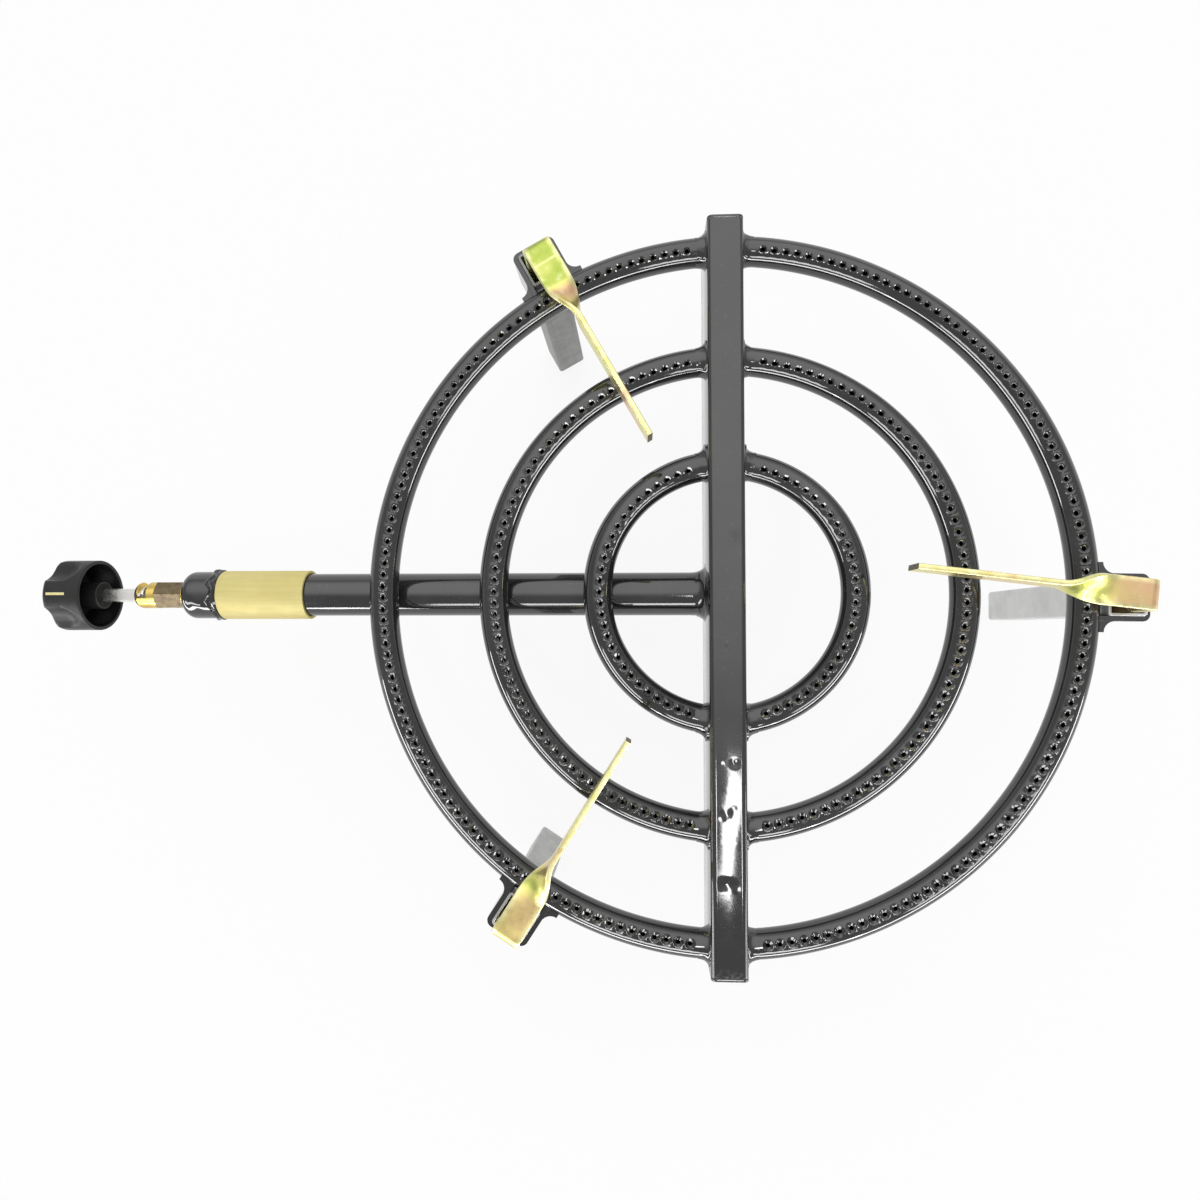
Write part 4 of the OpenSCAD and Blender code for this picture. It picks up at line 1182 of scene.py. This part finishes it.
def knob_shape(sizes):
    """Hollow knob with four finger flutes that fade out before the rim."""
    knob_r = (knob_high.z - knob_low.z) / 2
    knob_len = knob_high.x - knob_low.x - sizes.hub_proud
    bm = bmesh.new()
    wear = bm.verts.layers.float.new("wear")
    lathe(bm, knob_outline(sizes, knob_r, knob_len), KNOB_STEPS)
    face_outwards(bm)
    hub_r = sizes.hub_d / 2
    bore_r = sizes.bore_d / 2
    for face in bm.faces:
        middle = face.calc_center_median()
        reach = middle.xy.length
        if reach > hub_r + MERGE:
            inside = reach < knob_r - sizes.wall + MERGE and sizes.edge_r < middle.z < sizes.hollow + MERGE
        else:
            on_end = bore_r < reach < hub_r - sizes.edge_r
            inside = on_end or sizes.edge_r - sizes.hub_proud < middle.z < sizes.hollow
        # Faces of the hollow and the bore take the second slot, the painted shade
        if inside:
            face.material_index = 1
    for vert in bm.verts:
        reach = vert.co.xy.length
        if reach > hub_r + MERGE:
            inner = reach < knob_r - sizes.wall + MERGE and vert.co.z < sizes.hollow + MERGE
            turn = math.atan2(vert.co.y, vert.co.x)
            limit = flute_limit(sizes, knob_r, turn, vert.co.z, sizes.wall if inner else 0)
            if limit:
                kept = soft_least(reach, limit, sizes.blend)
                vert[wear] = 1 - min(1, abs(reach - limit) / (2 * sizes.blend))
                vert.co.xy *= kept / reach
        elif 0 < reach < bore_r + MERGE:
            vert.co.x = min(vert.co.x, bore_r - sizes.bore_flat)
    rim = knob_high.x - sizes.hub_proud
    place = Matrix.Translation((rim - cap_low.x, 0, 0))
    bmesh.ops.transform(bm, matrix=place @ TAP_FRAME, verts=bm.verts)
    return bm


class BURNER_OT_knob(bpy.types.Operator):
    """Moulded knob with finger flutes and a hollow back"""

    bl_idname = "burner.knob"
    bl_label = "Knob"

    def execute(self, context):
        bm = knob_shape(context.scene.burner_knob)
        # The second slot is the painted shade inside the hollow
        new_piece("moulded_knob", bm, "knob_and_spindle", "knob_plastic", ["knob"], ["knob_inside"])
        return {"FINISHED"}


# Share of each leg's zinc that is made pale: nearly white on the right leg, dark grey on the rear leg
LEG_WHITENING = {"right": 0.9, "rear": 0.05, "front": 0.5}


class BURNER_OT_legs(bpy.types.Operator):
    """Legs and the straps that hold them, with their edges rounded"""

    bl_idname = "burner.legs"
    bl_label = "Legs and straps"

    def execute(self, context):
        edges = context.scene.burner_edges
        for name in LEG_NAMES:
            leg = softened(f"leg_{name}", edges.leg)
            whitening = leg.verts.layers.float.new("whitening")
            for vert in leg.verts:
                vert[whitening] = LEG_WHITENING[name]
            soft_piece(f"zinc_leg_{name}", leg, ROOT, "leg_zinc", f"leg_{name}")
            strap = softened(f"bracket_{name}", edges.strap)
            soft_piece(f"enamelled_strap_{name}", strap, ROOT, "enamel", f"bracket_{name}")
        welds = softened("bracket_welds", edges.weld, segments=3)
        soft_piece("enamelled_strap_welds", welds, ROOT, "enamel", "bracket_welds")
        return {"FINISHED"}


BEND_STEPS = 8
TWIST_STEPS = 28
PADDLE_STEPS = 16
ARM_STEPS = 12
TAIL_STEPS = 6
BAR_EDGE_STEPS = 3
BAR_CUTS = 5
# Turn of each support in its leg in degrees, and how far it stands out in millimetres
SUPPORT_SETS = {"right": (-6, 3), "rear": (1, 1), "front": (1, 5.5)}
# Film along each support, from lime at nought to rose at one, by millimetres from its bend; along the right
# support's twist it is partly a painted highlight
SUPPORT_FILMS = {
    "right": ((0, 0.8), (14, 0.72), (24, 0.3), (36, 0.2), (46, 0.45), (70, 0.6), (118, 0.5)),
    "rear": ((0, 0.0), (21, 0.06), (27, 0.85), (34, 0.4), (74, 0.3), (94, 0.85), (112, 0.4)),
    "front": ((0, 0.5), (10, 0.66), (20, 0.74), (28, 0.08), (36, 0.5), (50, 0.7), (75, 0.35), (118, 0.45)),
}
# Scuff across a support's paddle, by millimetres from its bend, half its width and its strength
SUPPORT_SCUFFS = {"rear": 8}
SCUFF_HALF = 0.6
SCUFF_WEAR = 0.75


def support_stations(sizes, low, high):
    """Places of the bar's section from the foot of its tail to the tip of its arm."""
    along_x = Matrix.Rotation(-math.pi / 2, 4, "Y")
    middle = high - math.hypot(sizes.flat_w, sizes.flat_t) / 2
    bend_z = middle - sizes.bend_r
    stations = [
        Matrix.Translation((0, 0, low + (bend_z - low) * step / TAIL_STEPS)) for step in range(TAIL_STEPS + 1)
    ]
    for step in range(1, BEND_STEPS + 1):
        turn = math.pi / 2 * step / BEND_STEPS
        spot = Vector((sizes.bend_r * (math.cos(turn) - 1), 0, bend_z + sizes.bend_r * math.sin(turn)))
        stations.append(Matrix.Translation(spot) @ Matrix.Rotation(-turn, 4, "Y"))
    out = -sizes.bend_r
    runs = (
        (sizes.paddle, PADDLE_STEPS, 0, 0),
        (sizes.twist, TWIST_STEPS, 0, 1),
        (sizes.arm, ARM_STEPS, 1, 1),
    )
    for run, steps, first, last in runs:
        for step in range(1, steps + 1):
            part = step / steps
            turn = math.pi / 2 * (first + (last - first) * eased(part))
            spot = Matrix.Translation((out - run * part, 0, middle))
            stations.append(spot @ Matrix.Rotation(turn, 4, "X") @ along_x)
        out -= run
    return stations


def film_at(marks, along):
    """Film at a distance from the bend, worked out between its marks."""
    for (start, first), (end, last) in zip(marks, marks[1:]):
        if along < end:
            return first + (last - first) * max(0.0, (along - start) / (end - start))
    return marks[-1][1]


def support_bar(sizes, stations, marks, scuff):
    """Flat bar with rounded edges, extruded through its stations and marked with its film and scuff."""
    bm = bmesh.new()
    film = bm.verts.layers.float.new("film")
    wear = bm.verts.layers.float.new("wear")
    half_t = sizes.flat_t / 2
    half_w = sizes.flat_w / 2
    corners = [(x * half_t, y * half_w, 0) for x, y in SQUARE]
    round_rectangle(bm, corners, sizes.edge_r, BAR_EDGE_STEPS)
    for vert in bm.verts:
        vert[wear] = 1
    wide = [edge for edge in bm.edges if edge.calc_length() > sizes.flat_t]
    bmesh.ops.subdivide_edges(bm, edges=wide, cuts=BAR_CUTS)
    for vert in bm.verts:
        if abs(vert.co.y) < half_w - 2 * sizes.edge_r:
            vert[wear] = 0
    end_faces = bm.faces[:]
    bmesh.ops.transform(bm, matrix=stations[0], verts=bm.verts)
    for before, station in zip(stations, stations[1:]):
        made = bmesh.ops.extrude_face_region(bm, geom=end_faces)["geom"]
        end_faces = only(made, BMFace)
        end_verts = only(made, BMVert)
        bmesh.ops.transform(bm, matrix=station @ before.inverted(), verts=end_verts)
        along = (-station.translation.x - sizes.bend_r) / MM
        for vert in end_verts:
            vert[film] = film_at(marks, along)
            if scuff and vert[wear] < SCUFF_WEAR and abs(along - scuff) < SCUFF_HALF:
                vert[wear] = SCUFF_WEAR
            elif vert[wear] == SCUFF_WEAR:
                vert[wear] = 0
    for face in end_faces:
        face.material_index = 1
    face_outwards(bm)
    return bm


class BURNER_OT_supports(bpy.types.Operator):
    """Pan supports of bent and twisted flat bar"""

    bl_idname = "burner.supports"
    bl_label = "Pan supports"

    def execute(self, context):
        sizes = context.scene.burner_supports
        for name, (skew, shift) in SUPPORT_SETS.items():
            node = f"support_{name}"
            low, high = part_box(node)
            leg_from, leg_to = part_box(f"leg_{name}")
            leg_middle = (leg_from + leg_to) / 2
            bearing = math.atan2(leg_middle.y - RING_CENTRE.y, leg_middle.x - RING_CENTRE.x)
            stations = support_stations(sizes, low.z, high.z)
            bm = support_bar(sizes, stations, SUPPORT_FILMS[name], SUPPORT_SCUFFS.get(name))
            place = (
                Matrix.Translation((leg_middle.x, leg_middle.y, 0))
                @ Matrix.Rotation(bearing, 4, "Z")
                @ Matrix.Translation((shift * MM, 0, 0))
                @ Matrix.Rotation(math.radians(skew), 4, "Z")
            )
            bmesh.ops.transform(bm, matrix=place, verts=bm.verts)
            new_piece(f"zinc_{node}", bm, f"pan_{node}", "support_zinc", [node], ["cut_steel"])
        return {"FINISHED"}


class BURNER_OT_finishes(bpy.types.Operator):
    """Makes the finishes and puts them on the frame's own nodes"""

    bl_idname = "burner.finishes"
    bl_label = "Finishes"

    def execute(self, context):
        make_groups()
        for name, values in FINISHES.items():
            materials[name] = finish(context.scene.burner_colours, **values)
        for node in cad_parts.values():
            for slot in node.material_slots:
                slot.material = materials[slot.material.name]
        return {"FINISHED"}


# Lamps: place from the ring centre, width, depth and radiant power
LAMPS = {
    "ceiling_panel": ((0.188, -0.59, 1.9), 0.13, 0.38, 2.8),
    "front_window": ((0, -2.2, 1.3), 1.7, 0.46, 22),
    "left_window": ((-1.75, -1.45, 1.3), 1.2, 0.46, 15),
    "right_window": ((1.75, -1.45, 1.3), 1.2, 0.46, 13),
    "front_strip": ((0, -2.4, 0.33), 2.4, 0.34, 34),
    "left_strip": ((-1.9, -1.55, 0.33), 2.4, 0.34, 34),
    "right_strip": ((1.9, -1.55, 0.33), 2.4, 0.34, 34),
}
# Lamps that only gloss shows, as long lines on the enamel
GLOSS_LAMPS = ("front_window", "left_window", "right_window", "front_strip", "left_strip", "right_strip")
# How near a direction is to the soft light above the rear, from its outer edge to its even middle
CEILING_EDGE = {"From Min": 0.58, "From Max": 0.97}
# Rise of a direction at which the white backdrop starts to fade and is gone
BACKDROP_RISE = (0.06, 0.4)
NEAR_CLIP = 10 * MM


def floor_material(colours, stage):
    """Pale floor that shows white to the camera and to bright metal and still takes a shadow."""
    material = bpy.data.materials.new("pale_floor")
    material.use_nodes = True
    shader = Shader(material.node_tree, colours)
    surface = shader.find("BSDF_PRINCIPLED")
    output = shader.find("OUTPUT_MATERIAL")
    shader.feed(surface.inputs["Base Color"], "floor")
    surface.inputs["Roughness"].default_value = 0.9
    surface.inputs["Specular IOR Level"].default_value = 0.1
    white = shader.node("ShaderNodeEmission", {"Color": (1, 1, 1, 1), "Strength": 1.0})
    path = shader.node("ShaderNodeLightPath").outputs
    seen = shader.math("MAXIMUM", path["Is Camera Ray"], path["Is Glossy Ray"])
    seen = shader.math("MAXIMUM", seen, path["Is Transmission Ray"])
    part = shader.math("MULTIPLY", seen, stage.glow)
    both = shader.node("ShaderNodeMixShader", {0: part, 1: surface.outputs[0], 2: white.outputs[0]})
    shader.feed(output.inputs["Surface"], both.outputs[0])
    return material


def make_world(stage):
    """Even light, a soft light above the rear, and white past the floor for the camera and low gloss."""
    world = bpy.data.worlds.new("studio")
    bpy.context.scene.world = world
    world.use_nodes = True
    shader = Shader(world.node_tree)
    light = shader.find("BACKGROUND")
    path = shader.node("ShaderNodeLightPath").outputs
    seen = shader.math("MAXIMUM", path["Is Camera Ray"], path["Is Transmission Ray"])
    towards = (0, math.sin(stage.ceiling_tilt), math.cos(stage.ceiling_tilt))
    way = shader.node("ShaderNodeTexCoord").outputs["Generated"]
    rise = shader.node("ShaderNodeSeparateXYZ", {0: way}).outputs["Z"]
    backdrop = shader.math("SUBTRACT", 1.0, shader.spread(rise, *BACKDROP_RISE))
    seen = shader.math("MAXIMUM", seen, shader.math("MULTIPLY", path["Is Glossy Ray"], backdrop))
    facing = shader.node("ShaderNodeVectorMath", {0: way, 1: towards}, operation="DOT_PRODUCT")
    feeds = {"Value": facing.outputs["Value"], **CEILING_EDGE}
    soft = shader.node("ShaderNodeMapRange", feeds, interpolation_type="SMOOTHERSTEP")
    sky = shader.math("MULTIPLY_ADD", soft.outputs[0], stage.ceiling, stage.sky)
    light.inputs["Color"].default_value = (1, 1, 1, 1)
    shader.feed(light.inputs["Strength"], shader.math("MAXIMUM", sky, seen))


class BURNER_OT_stage(bpy.types.Operator):
    """Camera above the rings, soft lamps, even light and a pale floor"""

    bl_idname = "burner.stage"
    bl_label = "Stage"

    def execute(self, context):
        scene = context.scene
        stage = scene.burner_stage
        scene.view_settings.view_transform = "Standard"
        make_world(stage)
        bm = bmesh.new()
        bmesh.ops.create_grid(bm, x_segments=2, y_segments=2, size=stage.floor_w / 2)
        mesh = bpy.data.meshes.new("floor")
        bm.to_mesh(mesh)
        bm.free()
        mesh.transform(Matrix.Translation((0, 0, cad_low.z)))
        mesh.materials.append(floor_material(scene.burner_colours, stage))
        floor = bpy.data.objects.new("floor", mesh)
        scene.collection.objects.link(floor)
        for name, (place, width, depth, power) in LAMPS.items():
            lamp = bpy.data.lights.new(name, "AREA")
            lamp.shape = "RECTANGLE"
            lamp.size = width
            lamp.size_y = depth
            lamp.energy = power
            holder = bpy.data.objects.new(name, lamp)
            holder.location = RING_CENTRE + Vector(place)
            holder.visible_diffuse = name not in GLOSS_LAMPS
            holder.rotation_euler = (-Vector(place)).to_track_quat("-Z", "Y").to_euler()
            scene.collection.objects.link(holder)
        camera = bpy.data.cameras.new("camera")
        camera.lens = stage.lens
        camera.sensor_width = stage.sensor
        camera.clip_start = NEAR_CLIP
        holder = bpy.data.objects.new("camera", camera)
        holder.location = RING_CENTRE + Vector(stage.eye)
        holder.rotation_euler = stage.tilt
        scene.collection.objects.link(holder)
        scene.camera = holder
        return {"FINISHED"}


SETTINGS = {
    "burner_rings": BurnerRings,
    "burner_bar": BurnerBar,
    "burner_welds": BurnerWelds,
    "burner_supports": BurnerSupports,
    "burner_knob": BurnerKnob,
    "burner_edges": BurnerEdges,
    "burner_colours": BurnerColours,
    "burner_stage": BurnerStage,
}
OPERATORS = (
    BURNER_OT_finishes,
    BURNER_OT_rings,
    BURNER_OT_crossbar,
    BURNER_OT_welds,
    BURNER_OT_feed,
    BURNER_OT_sleeve,
    BURNER_OT_tap,
    BURNER_OT_knob,
    BURNER_OT_legs,
    BURNER_OT_supports,
    BURNER_OT_stage,
)


class BURNER_PT_looks(bpy.types.Panel):
    """Lists the burner's pieces and their sizes"""

    bl_idname = "BURNER_PT_looks"
    bl_label = "Paella burner"
    bl_space_type = "VIEW_3D"
    bl_region_type = "UI"
    bl_category = "Burner"

    def draw(self, context):
        for operator in OPERATORS:
            self.layout.operator(operator.bl_idname)
        for name, group in SETTINGS.items():
            box = self.layout.box()
            box.label(text=group.__doc__)
            for key in group.__annotations__:
                box.prop(getattr(context.scene, name), key)


CLASSES = (*SETTINGS.values(), *OPERATORS, BURNER_PT_looks)


def register():
    """Registers the classes and hangs their settings on the scene."""
    for item in CLASSES:
        bpy.utils.register_class(item)
    for name, group in SETTINGS.items():
        setattr(bpy.types.Scene, name, PointerProperty(type=group))


def unregister():
    """Takes the settings and the classes away again."""
    for name in SETTINGS:
        delattr(bpy.types.Scene, name)
    for item in reversed(CLASSES):
        bpy.utils.unregister_class(item)


def main():
    """Dresses the frame."""
    register()
    bpy.ops.burner.finishes()
    bpy.ops.burner.rings()
    bpy.ops.burner.crossbar()
    bpy.ops.burner.welds()
    bpy.ops.burner.feed()
    bpy.ops.burner.sleeve()
    bpy.ops.burner.tap()
    bpy.ops.burner.knob()
    bpy.ops.burner.legs()
    bpy.ops.burner.supports()
    bpy.ops.burner.stage()


if __name__ == "__main__":
    main()
